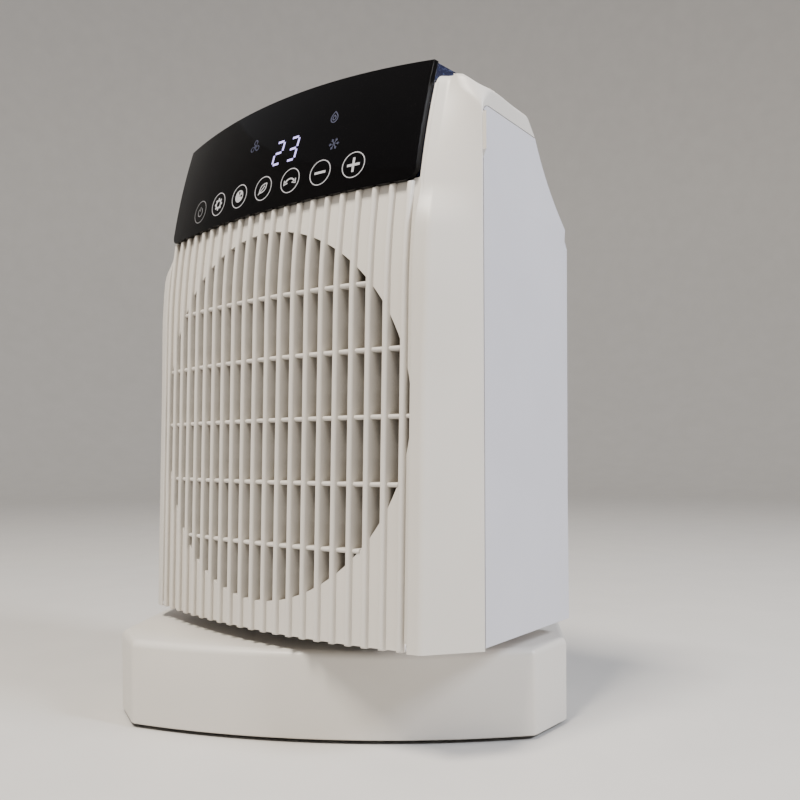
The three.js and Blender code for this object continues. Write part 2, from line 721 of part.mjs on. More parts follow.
function heaterFrame() {
  const plate = rodY(DUCT_RADIUS - WALL - 0.8, 0, OUTLET_Z, ...FRAME_Y, 32);
  const opening = block(
    -HEATER_HALF_WIDTH - GAP, HEATER_HALF_WIDTH + GAP, -50, 0,
    OUTLET_Z - HEATER_HALF_HEIGHT - GAP, OUTLET_Z + HEATER_HALF_HEIGHT + GAP,
  );
  return cut(plate, opening);
}

// Ceramic bars between rows of upright aluminium fins, open from front to back.
function ptcHeater() {
  let body = block(
    -HEATER_HALF_WIDTH, HEATER_HALF_WIDTH, HEATER_FRONT_Y, HEATER_BACK_Y,
    OUTLET_Z - HEATER_HALF_HEIGHT, OUTLET_Z + HEATER_HALF_HEIGHT,
  );
  const rowPitch = (2 * HEATER_HALF_HEIGHT - HEATER_ROW_WALL) / HEATER_ROWS;
  const columnPitch = (2 * HEATER_HALF_WIDTH - HEATER_COLUMN_WALL) / HEATER_COLUMNS;
  for (let row = 0; row < HEATER_ROWS; row++) {
    for (let col = 0; col < HEATER_COLUMNS; col++) {
      const x = -HEATER_HALF_WIDTH + HEATER_COLUMN_WALL + col * columnPitch;
      const z = OUTLET_Z - HEATER_HALF_HEIGHT + HEATER_ROW_WALL + row * rowPitch;
      const width = columnPitch - HEATER_COLUMN_WALL;
      const height = rowPitch - HEATER_ROW_WALL;
      body = cut(body, block(x, x + width, -50, 0, z, z + height));
    }
  }
  return body;
}

// A snap disc in a can, on a strap across the heater's frame.
function thermalCutout() {
  const z = OUTLET_Z + HEATER_HALF_HEIGHT + 14;
  const seat = FRAME_Y[1] + GAP;
  const can = rodY(CUTOUT_RADIUS, 0, z, seat, seat + 9.7, 20);
  const strap = block(-12, 12, seat, seat + 1.3, z - 4, z + 4);
  return join(can, strap);
}

// A seven-bladed fan: each blade a thin sheet that twists from its front edge to its back edge.
function fanImpeller() {
  const middle = (FAN_FRONT_Y + FAN_BACK_Y) / 2;
  const sweep = 0.72;
  const thickness = 1.6;
  const depth = FAN_BACK_Y - FAN_FRONT_Y - thickness;
  const parts = [rodY(FAN_HUB_RADIUS, 0, OUTLET_Z, FAN_FRONT_Y, FAN_BACK_Y, 28)];
  for (let i = 0; i < FAN_BLADES; i++) {
    parts.push(
      bentBlock(4, 4, (u, v, w) => {
        const radius = FAN_HUB_RADIUS - 2 + (FAN_RADIUS - FAN_HUB_RADIUS + 2) * u;
        const angle = (2 * Math.PI * i) / FAN_BLADES + (w - 0.5) * sweep;
        const y = middle + (w - 0.5) * depth * (1 - 0.35 * u) + (v - 0.5) * thickness;
        return [radius * Math.cos(angle), y, OUTLET_Z + radius * Math.sin(angle)];
      }),
    );
  }
  return cut(join(...parts), rodY(SHAFT_RADIUS + GAP, 0, OUTLET_Z, -50, 50, 12));
}

function fanNut() {
  const hexagon = rodY(5, 0, OUTLET_Z, FAN_FRONT_Y - 5, FAN_FRONT_Y - GAP, 6);
  return cut(hexagon, rodY(SHAFT_RADIUS + GAP, 0, OUTLET_Z, -50, 50, 12));
}

function fanMotor() {
  const noseRadius = 8;
  const noseLength = 3;
  const edge = 2;
  const shoulder = MOTOR_FRONT_Y + noseLength;
  const can = turnedY(
    [
      [0, MOTOR_FRONT_Y],
      [noseRadius, MOTOR_FRONT_Y],
      [noseRadius, shoulder],
      [MOTOR_RADIUS - edge, shoulder],
      [MOTOR_RADIUS, shoulder + edge],
      [MOTOR_RADIUS, MOTOR_BACK_Y - edge],
      [MOTOR_RADIUS - edge, MOTOR_BACK_Y],
      [0, MOTOR_BACK_Y],
    ],
    0, OUTLET_Z, 28,
  );
  return cut(can, rodY(SHAFT_RADIUS + 0.4, 0, OUTLET_Z, 0, MOTOR_BACK_Y - 3, 12));
}

// A collar round the motor with three arms out to the duct's rear flange.
function motorBracket() {
  const collar = rodY(MOTOR_RADIUS + 4, 0, OUTLET_Z, ...BRACKET_Y, 28);
  const arms = [90, 210, 330].map((angle) => {
    const arm = new THREE.BoxGeometry(62, 5, 10).translate(MOTOR_RADIUS + 33, 31, 0);
    const foot = new THREE.BoxGeometry(8, 15.2, 10).translate(84, 25.9, 0);
    const turn = -THREE.MathUtils.degToRad(angle);
    return [arm, foot].map((piece) => solid(piece.rotateY(turn).translate(0, 0, OUTLET_Z)));
  });
  return cut(join(collar, ...arms.flat()), rodY(MOTOR_RADIUS + GAP, 0, OUTLET_Z, 0, 60, 28));
}

// ---- Swivel -------------------------------------------------------------------------------

// An involute gear's outline; thinned by the backlash, one tooth centred on angle 0.
function gearOutline(teeth) {
  const pitchRadius = (GEAR_MODULE * teeth) / 2;
  const pressure = THREE.MathUtils.degToRad(20);
  const baseRadius = pitchRadius * Math.cos(pressure);
  const tipRadius = pitchRadius + GEAR_MODULE * 0.9;
  const rootRadius = pitchRadius - GEAR_MODULE * 1.2;
  const involute = (angle) => Math.tan(angle) - angle;
  const halfAtPitch = (Math.PI * GEAR_MODULE - BACKLASH) / (4 * pitchRadius) + involute(pressure);
  const flank = [0, 0.5, 1].map((share) => {
    const radius = Math.max(baseRadius, rootRadius) + (tipRadius - Math.max(baseRadius, rootRadius)) * share;
    const half = halfAtPitch - involute(Math.acos(Math.min(1, baseRadius / radius)));
    return [radius, half];
  });
  const rootHalf = flank[0][1];
  const side = [[rootRadius, rootHalf], ...flank];
  const tooth = [...side.map(([radius, half]) => [radius, -half]), ...side.reverse()];
  return Array.from({ length: teeth }, (_, i) =>
    tooth.map(([radius, angle]) => {
      const turn = angle + (2 * Math.PI * i) / teeth;
      return [radius * Math.cos(turn), radius * Math.sin(turn)];
    }),
  ).flat();
}

function turntable() {
  const disc = rodZ(TURNTABLE_RADIUS, 0, 0, TURNTABLE_LOW, REAR_SHELL_BOTTOM - GAP, 36);
  const hub = rodZ(HUB_RADIUS, 0, 0, HUB_LOW, TURNTABLE_LOW + 1, 28);
  const flatTop = GEAR_HIGH + GAP;
  const flats = [
    block(HUB_FLAT, OUTSIDE, -OUTSIDE, OUTSIDE, 0, flatTop),
    block(-OUTSIDE, -HUB_FLAT, -OUTSIDE, OUTSIDE, 0, flatTop),
  ];
  const grooveLow = CLIP_LOW - 0.25;
  const grooveHigh = CLIP_HIGH + 0.25;
  const outer = HUB_RADIUS + 5;
  const groove = turnedZ(
    [[GROOVE_RADIUS, grooveLow], [outer, grooveLow], [outer, grooveHigh], [GROOVE_RADIUS, grooveHigh]],
    0, 0, 28,
  );
  const screwHoles = turntableScrewSpots().map(([x, y]) => rodZ(1.7, x, y, 45, 60, 10));
  return cut(join(disc, cut(hub, ...flats, groove)), rodZ(HUB_BORE, 0, 0, 0, 60, 20), ...screwHoles);
}

// The big gear, keyed to the hub's flats, one tooth pointing at the pinion.
function driveGear() {
  const bore = cut(
    rodZ(HUB_RADIUS + GAP, 0, 0, 0, 60, 28),
    block(HUB_FLAT + GAP, OUTSIDE, -OUTSIDE, OUTSIDE, 0, 60),
    block(-OUTSIDE, -HUB_FLAT - GAP, -OUTSIDE, OUTSIDE, 0, 60),
  );
  const turn = THREE.MathUtils.radToDeg(Math.PI - HEAD_TURN);
  const wheel = alongZ(gearOutline(GEAR_TEETH), GEAR_LOW, GEAR_HIGH);
  return cut(wheel.rotate([0, 0, turn]), bore);
}

// The small gear with its collar and the shaft that goes down into the motor.
function oscillationPinion() {
  return join(
    alongZ(gearOutline(PINION_TEETH), GEAR_LOW, GEAR_HIGH),
    rodZ(2 * PINION_SHAFT_RADIUS, 0, 0, OSCILLATOR_BOSS_TOP + 0.4, GEAR_LOW + 1, 16),
    rodZ(PINION_SHAFT_RADIUS, 0, 0, PINION_SHAFT_LOW, OSCILLATOR_BOSS_TOP + 1.5, 16),
  );
}

// An open ring that snaps into the hub's groove under the gear.
function retainingClip() {
  const outer = arc(0, 0, CLIP_RADIUS, -150, 150, 14);
  const inner = arc(0, 0, GROOVE_RADIUS + 0.5, 150, -150, 12);
  return alongZ([...outer, ...inner], CLIP_LOW, CLIP_HIGH);
}

// ---- Base ---------------------------------------------------------------------------------

function baseOutline() {
  const [cornerX, cornerY] = BASE_FRONT_CORNER;
  const radius = cornerX ** 2 / (2 * BASE_BULGE) + BASE_BULGE / 2;
  const steps = 14;
  const front = Array.from({ length: steps + 1 }, (_, i) => {
    const x = cornerX * ((2 * i) / steps - 1);
    return [x, cornerY - Math.sqrt(radius * radius - x * x) + radius - BASE_BULGE];
  });
  const right = [BASE_SIDE, BASE_REAR_SIDE, BASE_REAR_CORNER];
  return [...front, ...right, ...mirrored(right)];
}

function baseColumn(distance, low, high, rounding) {
  const steps = rounding > 0 ? 3 : 0;
  const levels = [[distance, low]];
  for (let i = 0; i <= steps; i++) {
    const angle = steps ? (Math.PI / 2) * (i / steps) : 0;
    levels.push([distance + rounding * (1 - Math.cos(angle)), high - rounding * (1 - Math.sin(angle))]);
  }
  return column(levels.map(([step, z]) => inset(baseOutline(), step).map(([x, y]) => [x, y, z])));
}

const GLAND = [62, 22];
const SWITCH = [-52, 24];
const TIP_SWITCH = [62, 22];
const MOTOR_EARS = [[PINION_X, -25], [PINION_X, 25]];
const MOTOR_EAR_THICKNESS = 2;

function baseCover() {
  const rearWall = BASE_REAR_CORNER[1];
  const outside = baseColumn(0, BASE_BOTTOM, BASE_DECK, BASE_RIM_RADIUS);
  let cover = cut(outside, baseColumn(WALL, 0, BASE_DECK - WALL, 0));
  for (const [x, y] of BASE_SCREWS) {
    const boss = rodZ(4.5, x, y, PLATE_HIGH + GAP, BASE_DECK - 1, 12);
    cover = cut(join(cover, boss), rodZ(1.7, x, y, 0, 22, 10));
  }
  const hubHole = rodZ(HUB_RADIUS + 0.5, 0, 0, 0, 60, 28);
  const glandHole = rodY(6.4, GLAND[0], GLAND[1], rearWall - 6, rearWall + 6, 16);
  const switchHole = block(
    SWITCH[0] - 10.8, SWITCH[0] + 10.8,
    rearWall - 6, rearWall + 6,
    SWITCH[1] - 7.8, SWITCH[1] + 7.8,
  );
  return cut(cover, hubHole, glandHole, switchHole);
}

function basePlate() {
  const plate = alongZ(inset(baseOutline(), WALL + GAP), PLATE_LOW, PLATE_HIGH);
  const holes = [
    ...FEET.map(([x, y]) => rodZ(2.8, x, y, 0, 10, 12)),
    ...BASE_SCREWS.map(([x, y]) => rodZ(1.8, x, y, 0, 10, 10)),
    ...MOTOR_EARS.map(([x, y]) => rodZ(1.7, x, y, 0, 10, 10)),
    rodZ(3.4, TIP_SWITCH[0], TIP_SWITCH[1], 0, 10, 12),
  ];
  return cut(plate, ...holes);
}

// A round pad with a stem that plugs into the plate.
function rubberFoot(x, y) {
  const padTop = PLATE_LOW - GAP;
  const stemTop = PLATE_HIGH + 2;
  return turnedZ(
    [[0, 0], [7, 0], [8, 1], [8, padTop], [2.5, padTop], [2.5, stemTop], [0, stemTop]],
    x, y, 16,
  );
}

// A flat ring under the turntable, its outer top edge sloped.
function bearingRing() {
  const low = BASE_DECK + GAP;
  const high = TURNTABLE_LOW - GAP;
  return turnedZ([[16, low], [30, low], [30, high - 1], [28, high], [16, high]], 0, 0, 32);
}

function oscillationMotor() {
  const seat = PLATE_HIGH + GAP;
  const can = rodZ(OSCILLATOR_RADIUS, PINION_X, 0, seat, OSCILLATOR_TOP, 28);
  const boss = rodZ(7, PINION_X, 0, OSCILLATOR_TOP - 1, OSCILLATOR_BOSS_TOP, 16);
  const ears = block(PINION_X - 6, PINION_X + 6, -30, 30, seat, seat + MOTOR_EAR_THICKNESS);
  const earHoles = MOTOR_EARS.map(([x, y]) => rodZ(1.8, x, y, 0, 10, 10));
  const bore = rodZ(PINION_SHAFT_RADIUS + 0.4, PINION_X, 0, PINION_SHAFT_LOW - 1, 60, 16);
  return cut(join(can, boss, ears), bore, ...earHoles);
}

function tipOverSwitch() {
  const [x, y] = TIP_SWITCH;
  const body = block(x - 11, x + 11, y - 8, y + 8, PLATE_HIGH + GAP, 26);
  return cut(body, rodZ(5.6, x, y, 0, 13.5, 16), rodZ(3.2, x, y, 0, 22, 12));
}

// The post that feels for the table: held up while the heater stands.
function tipOverPlunger() {
  const [x, y] = TIP_SWITCH;
  return turnedZ(
    [[0, 0.2], [2, 0.2], [2.8, 1], [2.8, 10.6], [5, 10.6], [5, 12.6], [2.8, 12.6], [2.8, 18], [0, 18]],
    x, y, 16,
  );
}

function cordGland() {
  const wall = BASE_REAR_CORNER[1];
  return turnedY(
    [
      [3.6, wall - 6], [8, wall - 6], [8, wall - WALL - GAP], [6, wall - WALL - GAP], [6, wall + GAP],
      [8.5, wall + GAP], [8.5, wall + 2.3], [6.4, wall + 4], [4.9, wall + 13], [3.6, wall + 13],
    ],
    GLAND[0], GLAND[1], 20,
  );
}

function powerSwitchBody() {
  const [x, z] = SWITCH;
  const wall = BASE_REAR_CORNER[1];
  const bezel = block(x - 12.5, x + 12.5, wall + GAP, wall + 2.3, z - 9.5, z + 9.5);
  const body = block(x - 10.4, x + 10.4, wall - 17, wall + 1, z - 7.4, z + 7.4);
  const well = block(x - 8.2, x + 8.2, wall - 6, wall + 10, z - 6.9, z + 6.9);
  return cut(join(bezel, body), well);
}

// Rocker key: a shallow V outside, one half pushed in.
function powerRocker() {
  const [x, z] = SWITCH;
  const y = BASE_REAR_CORNER[1];
  const section = [[-3, -2.5], [0.6, -6], [3.9, -5.8], [2.3, 0], [1.6, 5.8], [-1, 6], [-3, 2.5]];
  return alongX(section.map(([back, up]) => [y + back, z + up]), x - 7.8, x + 7.8);
}

// ---- The object ---------------------------------------------------------------------------

const heater = new THREE.Group();

const base = new THREE.Group();
base.position.set(SWIVEL_X, SWIVEL_Y, 0);
heater.add(base);

const head = new THREE.Group();
head.position.set(SWIVEL_X, SWIVEL_Y, 0);
head.rotation.z = HEAD_TURN;
heater.add(head);

show(base, "base_cover", baseCover(), WHITE_PLASTIC);
show(base, "base_plate", basePlate(), DARK_PLASTIC);
FEET.forEach(([x, y], i) => show(base, `rubber_foot_${i + 1}`, rubberFoot(x, y), RUBBER));
const baseScrew = screwSolid(3.2, 1.6, 1.4, 14).rotate([180, 0, 0]);
BASE_SCREWS.forEach(([x, y], i) => {
  show(base, `base_screw_${i + 1}`, baseScrew.translate([x, y, PLATE_LOW - GAP]), ZINC);
});
show(base, "oscillation_motor", oscillationMotor(), STEEL);
const motorScrew = screwSolid(3, 1.8, 1.35, 4.4);
MOTOR_EARS.forEach(([x, y], i) => {
  const seat = PLATE_HIGH + 2 * GAP + MOTOR_EAR_THICKNESS;
  show(base, `oscillation_motor_screw_${i + 1}`, motorScrew.translate([x, y, seat]), ZINC);
});
show(base, "swivel_bearing_ring", bearingRing(), NYLON);
show(base, "tip_over_switch", tipOverSwitch(), DARK_PLASTIC);
show(base, "tip_over_plunger", tipOverPlunger(), NYLON);
show(base, "cord_gland", cordGland(), RUBBER);
show(base, "power_switch_body", powerSwitchBody(), DARK_PLASTIC);
show(base, "power_rocker", powerRocker(), DARK_PLASTIC);

// The pinion: at rest a gap between its teeth faces the gear's axis.
const pinion = show(base, "oscillation_pinion", oscillationPinion(), NYLON);
pinion.position.x = PINION_X;
pinion.rotation.z = -Math.PI / PINION_TEETH;

show(head, "front_shell", frontShell(), WHITE_PLASTIC);
show(head, "rear_shell", rearShell(), SHELL_PLASTIC);
show(head, "rear_grille", rearGrille(), SHELL_PLASTIC);
show(head, "dust_filter", dustFilter(), FILTER_MESH);
show(head, "touch_panel", touchPanel(), GLOSS_BLACK);
show(head, "panel_housing", panelHousing(), PANEL_SIDE);
show(head, "display_board", displayBoard(), BOARD);
show(head, "led_display", ledDisplay(), DARK_PLASTIC);

show(head, "heater_duct", heaterDuct(), HEAT_PLASTIC);
show(head, "heater_frame", heaterFrame(), HEAT_PLASTIC);
show(head, "ptc_heater", ptcHeater(), ALUMINIUM);
show(head, "thermal_cutout", thermalCutout(), STEEL);
show(head, "fan_motor", fanMotor(), STEEL);
show(head, "motor_bracket", motorBracket(), HEAT_PLASTIC);
show(head, "fan_impeller", fanImpeller(), DARK_PLASTIC);
show(head, "fan_shaft", rodY(SHAFT_RADIUS, 0, OUTLET_Z, FAN_FRONT_Y - 6, MOTOR_BACK_Y - 5, 12), STEEL);
show(head, "fan_nut", fanNut(), ZINC);

show(head, "power_board", powerBoard(), BOARD);
RELAY_X.forEach((x, i) => show(head, `relay_${i + 1}`, relay(x), RELAY_BLUE));
show(head, "supply_capacitor", supplyCapacitor(), CAPACITOR_SLEEVE);
show(head, "room_sensor", roomSensor(), DARK_PLASTIC);

show(head, "swivel_turntable", turntable(), NYLON);
show(head, "drive_gear", driveGear(), NYLON);
show(head, "swivel_clip", retainingClip(), STEEL);

const caseScrewSeat = TOWER_END_Y + WALL + GAP;
const caseScrew = solid(turned(screwProfile(3.3, 2.2, 1.45, 9), 10)).translate([0, caseScrewSeat, 0]);
CASE_SCREWS.forEach(([x, z], i) => show(head, `case_screw_${i + 1}`, caseScrew.translate([x, 0, z]), ZINC));
const turntableScrew = screwSolid(3.2, 2, 1.4, 6).translate([0, 0, innerFloor + GAP]);
turntableScrewSpots().forEach(([x, y], i) => {
  show(head, `turntable_screw_${i + 1}`, turntableScrew.translate([x, y, 0]), ZINC);
});

export default heater;
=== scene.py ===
"""Looks of the oscillating fan heater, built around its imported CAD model.

Shapes are worked out in millimetres in two local frames: the base's, and the head's, which is turned
about the swivel axis. In both, -y is the front, +x the viewer's right, and x = y = 0 the swivel axis.
"""
import json
import math

import bpy
import bmesh
from mathutils import Matrix, Vector


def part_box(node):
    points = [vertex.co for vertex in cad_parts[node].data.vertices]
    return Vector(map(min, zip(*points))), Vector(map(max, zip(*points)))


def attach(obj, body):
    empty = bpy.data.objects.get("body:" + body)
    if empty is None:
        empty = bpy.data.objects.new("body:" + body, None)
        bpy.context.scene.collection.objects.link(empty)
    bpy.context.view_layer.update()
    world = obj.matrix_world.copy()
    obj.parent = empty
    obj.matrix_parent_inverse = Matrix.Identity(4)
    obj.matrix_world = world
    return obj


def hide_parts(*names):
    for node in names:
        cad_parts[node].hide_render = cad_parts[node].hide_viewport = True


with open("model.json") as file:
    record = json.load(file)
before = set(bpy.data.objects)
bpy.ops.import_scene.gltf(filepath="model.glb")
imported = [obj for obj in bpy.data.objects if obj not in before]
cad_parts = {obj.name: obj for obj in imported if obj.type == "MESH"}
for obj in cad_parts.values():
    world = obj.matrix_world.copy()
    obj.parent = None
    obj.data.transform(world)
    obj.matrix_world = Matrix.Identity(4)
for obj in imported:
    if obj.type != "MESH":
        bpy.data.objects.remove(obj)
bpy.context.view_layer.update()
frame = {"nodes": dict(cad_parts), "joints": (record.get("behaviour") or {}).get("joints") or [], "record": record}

MM = 0.001

# ---- Sizes taken from the frame --------------------------

JOINTS = {joint["name"]: joint for joint in frame["joints"]}
SWIVEL = Vector(JOINTS["head_swivel"]["pos_m"])
FAN_AXIS = JOINTS["fan_spin"]["axis"]
HEAD_TURN = -math.atan2(FAN_AXIS[0], FAN_AXIS[1])
OUTLET_Z = JOINTS["fan_spin"]["pos_m"][2] / MM

BASE_PLACE = Matrix.Translation((SWIVEL.x, SWIVEL.y, 0)) @ Matrix.Scale(MM, 4)
HEAD_PLACE = (
    Matrix.Translation((SWIVEL.x, SWIVEL.y, 0))
    @ Matrix.Rotation(HEAD_TURN, 4, "Z")
    @ Matrix.Scale(MM, 4)
)


def low(node):
    """A node's lowest corner, in millimetres."""
    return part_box(node)[0] / MM


def high(node):
    """A node's highest corner, in millimetres."""
    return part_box(node)[1] / MM


HEAD_BOTTOM = low("front_shell").z
REAR_BOTTOM = low("rear_shell").z
CAP_SEAM_Z = high("rear_shell").z + 0.15
PANEL_BOTTOM = low("touch_panel").z
PANEL_TOP = high("touch_panel").z
FILTER_BOTTOM = low("dust_filter").z
FILTER_TOP = high("dust_filter").z
BASE_BOTTOM = low("base_cover").z
BASE_DECK = high("base_cover").z

# ---- Shape of the head -----------------------------------

# The front: a slightly bulging face that leans back, more and more from LEAN_START up.
FRONT_Y = -67.5
FRONT_RADIUS = 382.6
LEAN_SLOPE = 0.028
LEAN_MIDDLE = 178
LEAN_START = 215
LEAN_RADIUS = 355
FRONT_CORNER_X = 101.3
FRONT_CORNER_SPREAD = 1
SPREAD_RISE = (LEAN_MIDDLE, LEAN_MIDDLE + 40)
FRONT_CORNER_INSET = 4
FRONT_CORNER_RADIUS = 5
RECESSED_CORNER_X = 99.7

# The seam between the shells, the sides and the rear, with the slope up to the deck.
SEAM_CORNER = (118.9, -32.6)
SIDE_LEAN_IN = 0.0104
SEAM_LEAN_BACK = 0.0148
REAR_CORNER = (113.1, 55.8)
REAR_CORNER_RADII = (3, 1.2)
DECK_Z = 311.8
DECK_BACK_Y = 18.2
SHOULDER_RISE = 7.9
SHOULDER_SIDES = (101, 114)
SHOULDER_FADE = (-22, 4)
SLOPE_TOP = (26.3, 301.9)
SLOPE_BEND = (36.6, 279)
SLOPE_FOOT = (REAR_CORNER[1], 260.8)
CHEEK_RADIUS = 0.9
CAP_EXTRA_RADIUS = 12
CHEEK_RADIUS_RISE = (CAP_SEAM_Z - 3, DECK_Z + 2)
REAR_RADIUS_FALL = (SLOPE_FOOT[1] - 8, SLOPE_FOOT[1] + 4)
FRONT_RIM_RADIUS = 5
SIDE_RIM_RADIUS = 2.4
CAP_SEAM_RADIUS = 5
CAP_SEAM_SHIFT = 4.5
CAP_SHIFT_RISE = (CAP_SEAM_Z, CAP_SEAM_Z + 4)
SEAM_GAP = 0.65
SEAM_BEHIND_CORNER = 0.5
SHELL_THICKNESS = 1.8
SHELL_FLOOR_THICKNESS = 1.6
HUB_HOLE_RADIUS = 14.5
INTAKE_HALF_WIDTH = 86

# The ribbed field with its round outlet, and the bay of the panel above it.
FIELD_HALF_WIDTH = 94.6
FIELD_DEPTH = 2.6
FIELD_TOP = PANEL_BOTTOM - 0.7
FIELD_EDGE_RISE = (FIELD_TOP - 1, FIELD_TOP + 1)
FIELD_TO_BAY = (FIELD_TOP - 8, FIELD_TOP + 6)
WALL_TOP = PANEL_BOTTOM + 1.5
BAY_HALF_WIDTH = 94.2
BAY_BACK_Y = -4.7
STRIP_RECESS = 4.5
STRIP_INNER_RECESS = 1.9
STRIP_RECESS_RISE = (246, 266)
STRIP_EDGE_RADIUS = 0.8
LIP_DEPTH = 6
OUTLET_RADIUS = 93.9
THROAT_DEPTH = 14
WALL_THICKNESS = 1.6
WALL_OVERLAP = 0.4
WALL_LIFT = 0.3
RIB_COUNT = 21
RIB_PITCH = 9.06
RIB_WIDTH = 2.7
RIB_DEPTH = 18
RIB_END_RADIUS = 1
CROSS_COUNT = 5
CROSS_PITCH = 31.2
CROSS_MIDDLE_Z = 159.3
CROSS_THICKNESS = 2.2
CROSS_SETBACK = 2
CROSS_DEPTH = 10
CROSS_OVERLAP = 0.5


def front_y(x, z):
    """Depth of the front face at a point."""
    bulge = FRONT_RADIUS - math.sqrt(FRONT_RADIUS ** 2 - x * x)
    lean = LEAN_SLOPE * (z - LEAN_MIDDLE) + max(0, z - LEAN_START) ** 2 / (2 * LEAN_RADIUS)
    return FRONT_Y + bulge + lean


def smooth(value, start, end):
    """Rises evenly from 0 at start to 1 at end, level at both."""
    share = min(1, max(0, (value - start) / (end - start)))
    return share * share * (3 - 2 * share)


def mix(start, end, share):
    return start + (end - start) * share


def between(start, end, share):
    return (mix(start[0], end[0], share), mix(start[1], end[1], share))


def strip_y(x, z):
    """Front of the plain strip beside the ribs; beside the panel it lies farther back."""
    share = (x - BAY_HALF_WIDTH) / (RECESSED_CORNER_X - BAY_HALF_WIDTH)
    recess = mix(STRIP_INNER_RECESS, STRIP_RECESS, share)
    return front_y(x, z) + recess * smooth(z, *STRIP_RECESS_RISE)


HALVINGS = 40


def rear_y(z):
    """Depth of the rear face: upright, then scooped, then a short straight slope up to the deck."""
    if z <= SLOPE_FOOT[1]:
        return SLOPE_FOOT[0]
    if z >= SLOPE_TOP[1]:
        return mix(SLOPE_TOP[0], DECK_BACK_Y, (z - SLOPE_TOP[1]) / (DECK_Z - SLOPE_TOP[1]))
    (y0, z0), (y1, z1), (y2, z2) = SLOPE_TOP, SLOPE_BEND, SLOPE_FOOT
    lowest, highest = 0.0, 1.0
    for _ in range(HALVINGS):
        t = (lowest + highest) / 2
        height = (1 - t) ** 2 * z0 + 2 * t * (1 - t) * z1 + t * t * z2
        if height > z:
            lowest = t
        else:
            highest = t
    return (1 - t) ** 2 * y0 + 2 * t * (1 - t) * y1 + t * t * y2


def deck_z(x, y):
    """Height of the top, which rises to a shoulder beside the panel."""
    shoulder = 1 - smooth(abs(x), *SHOULDER_SIDES)
    return DECK_Z + SHOULDER_RISE * shoulder * (1 - smooth(y, *SHOULDER_FADE))


def crossing(line_a, line_b):
    """Where two lines meet, each given as (x, y, direction x, direction y)."""
    ax, ay, au, av = line_a
    bx, by, bu, bv = line_b
    reach = ((bx - ax) * bv - (by - ay) * bu) / (au * bv - av * bu)
    return (ax + au * reach, ay + av * reach)


def line_through(start, end, inset):
    """A line through two points, moved to its left by a distance."""
    length = math.dist(start, end)
    u, v = (end[0] - start[0]) / length, (end[1] - start[1]) / length
    return (start[0] - v * inset, start[1] + u * inset, u, v)


def rounded_corner(before, corner, after, radius, steps):
    """Points of the arc that rounds a corner, from the side of before to the side of after."""
    to_before = Vector((before[0] - corner[0], before[1] - corner[1])).normalized()
    to_after = Vector((after[0] - corner[0], after[1] - corner[1])).normalized()
    half = to_before.angle(to_after) / 2
    centre = Vector(corner) + (to_before + to_after).normalized() * (radius / math.sin(half))
    start = Vector(corner) + to_before * (radius / math.tan(half)) - centre
    end = Vector(corner) + to_after * (radius / math.tan(half)) - centre
    sweep = start.angle_signed(end)
    turns = [Matrix.Rotation(-sweep * i / steps, 2) for i in range(steps + 1)]
    return [tuple(centre + turn @ start) for turn in turns]


# Points along each stretch of the head's outline.
LIP_STEPS = 5
STRIP_STEPS = 8
CORNER_STEPS = 8
CHEEK_STEPS = 8
SEAM_STEPS = 6
SIDE_STEPS = 18
REAR_STEPS = 20


def seam_shift(z):
    """How far the upright seam has turned back along the side, on its corner under the cap."""
    rise = min(CAP_SEAM_RADIUS, max(0, z - (CAP_SEAM_Z - CAP_SEAM_RADIUS)))
    return CAP_SEAM_RADIUS - math.sqrt(CAP_SEAM_RADIUS ** 2 - rise ** 2)


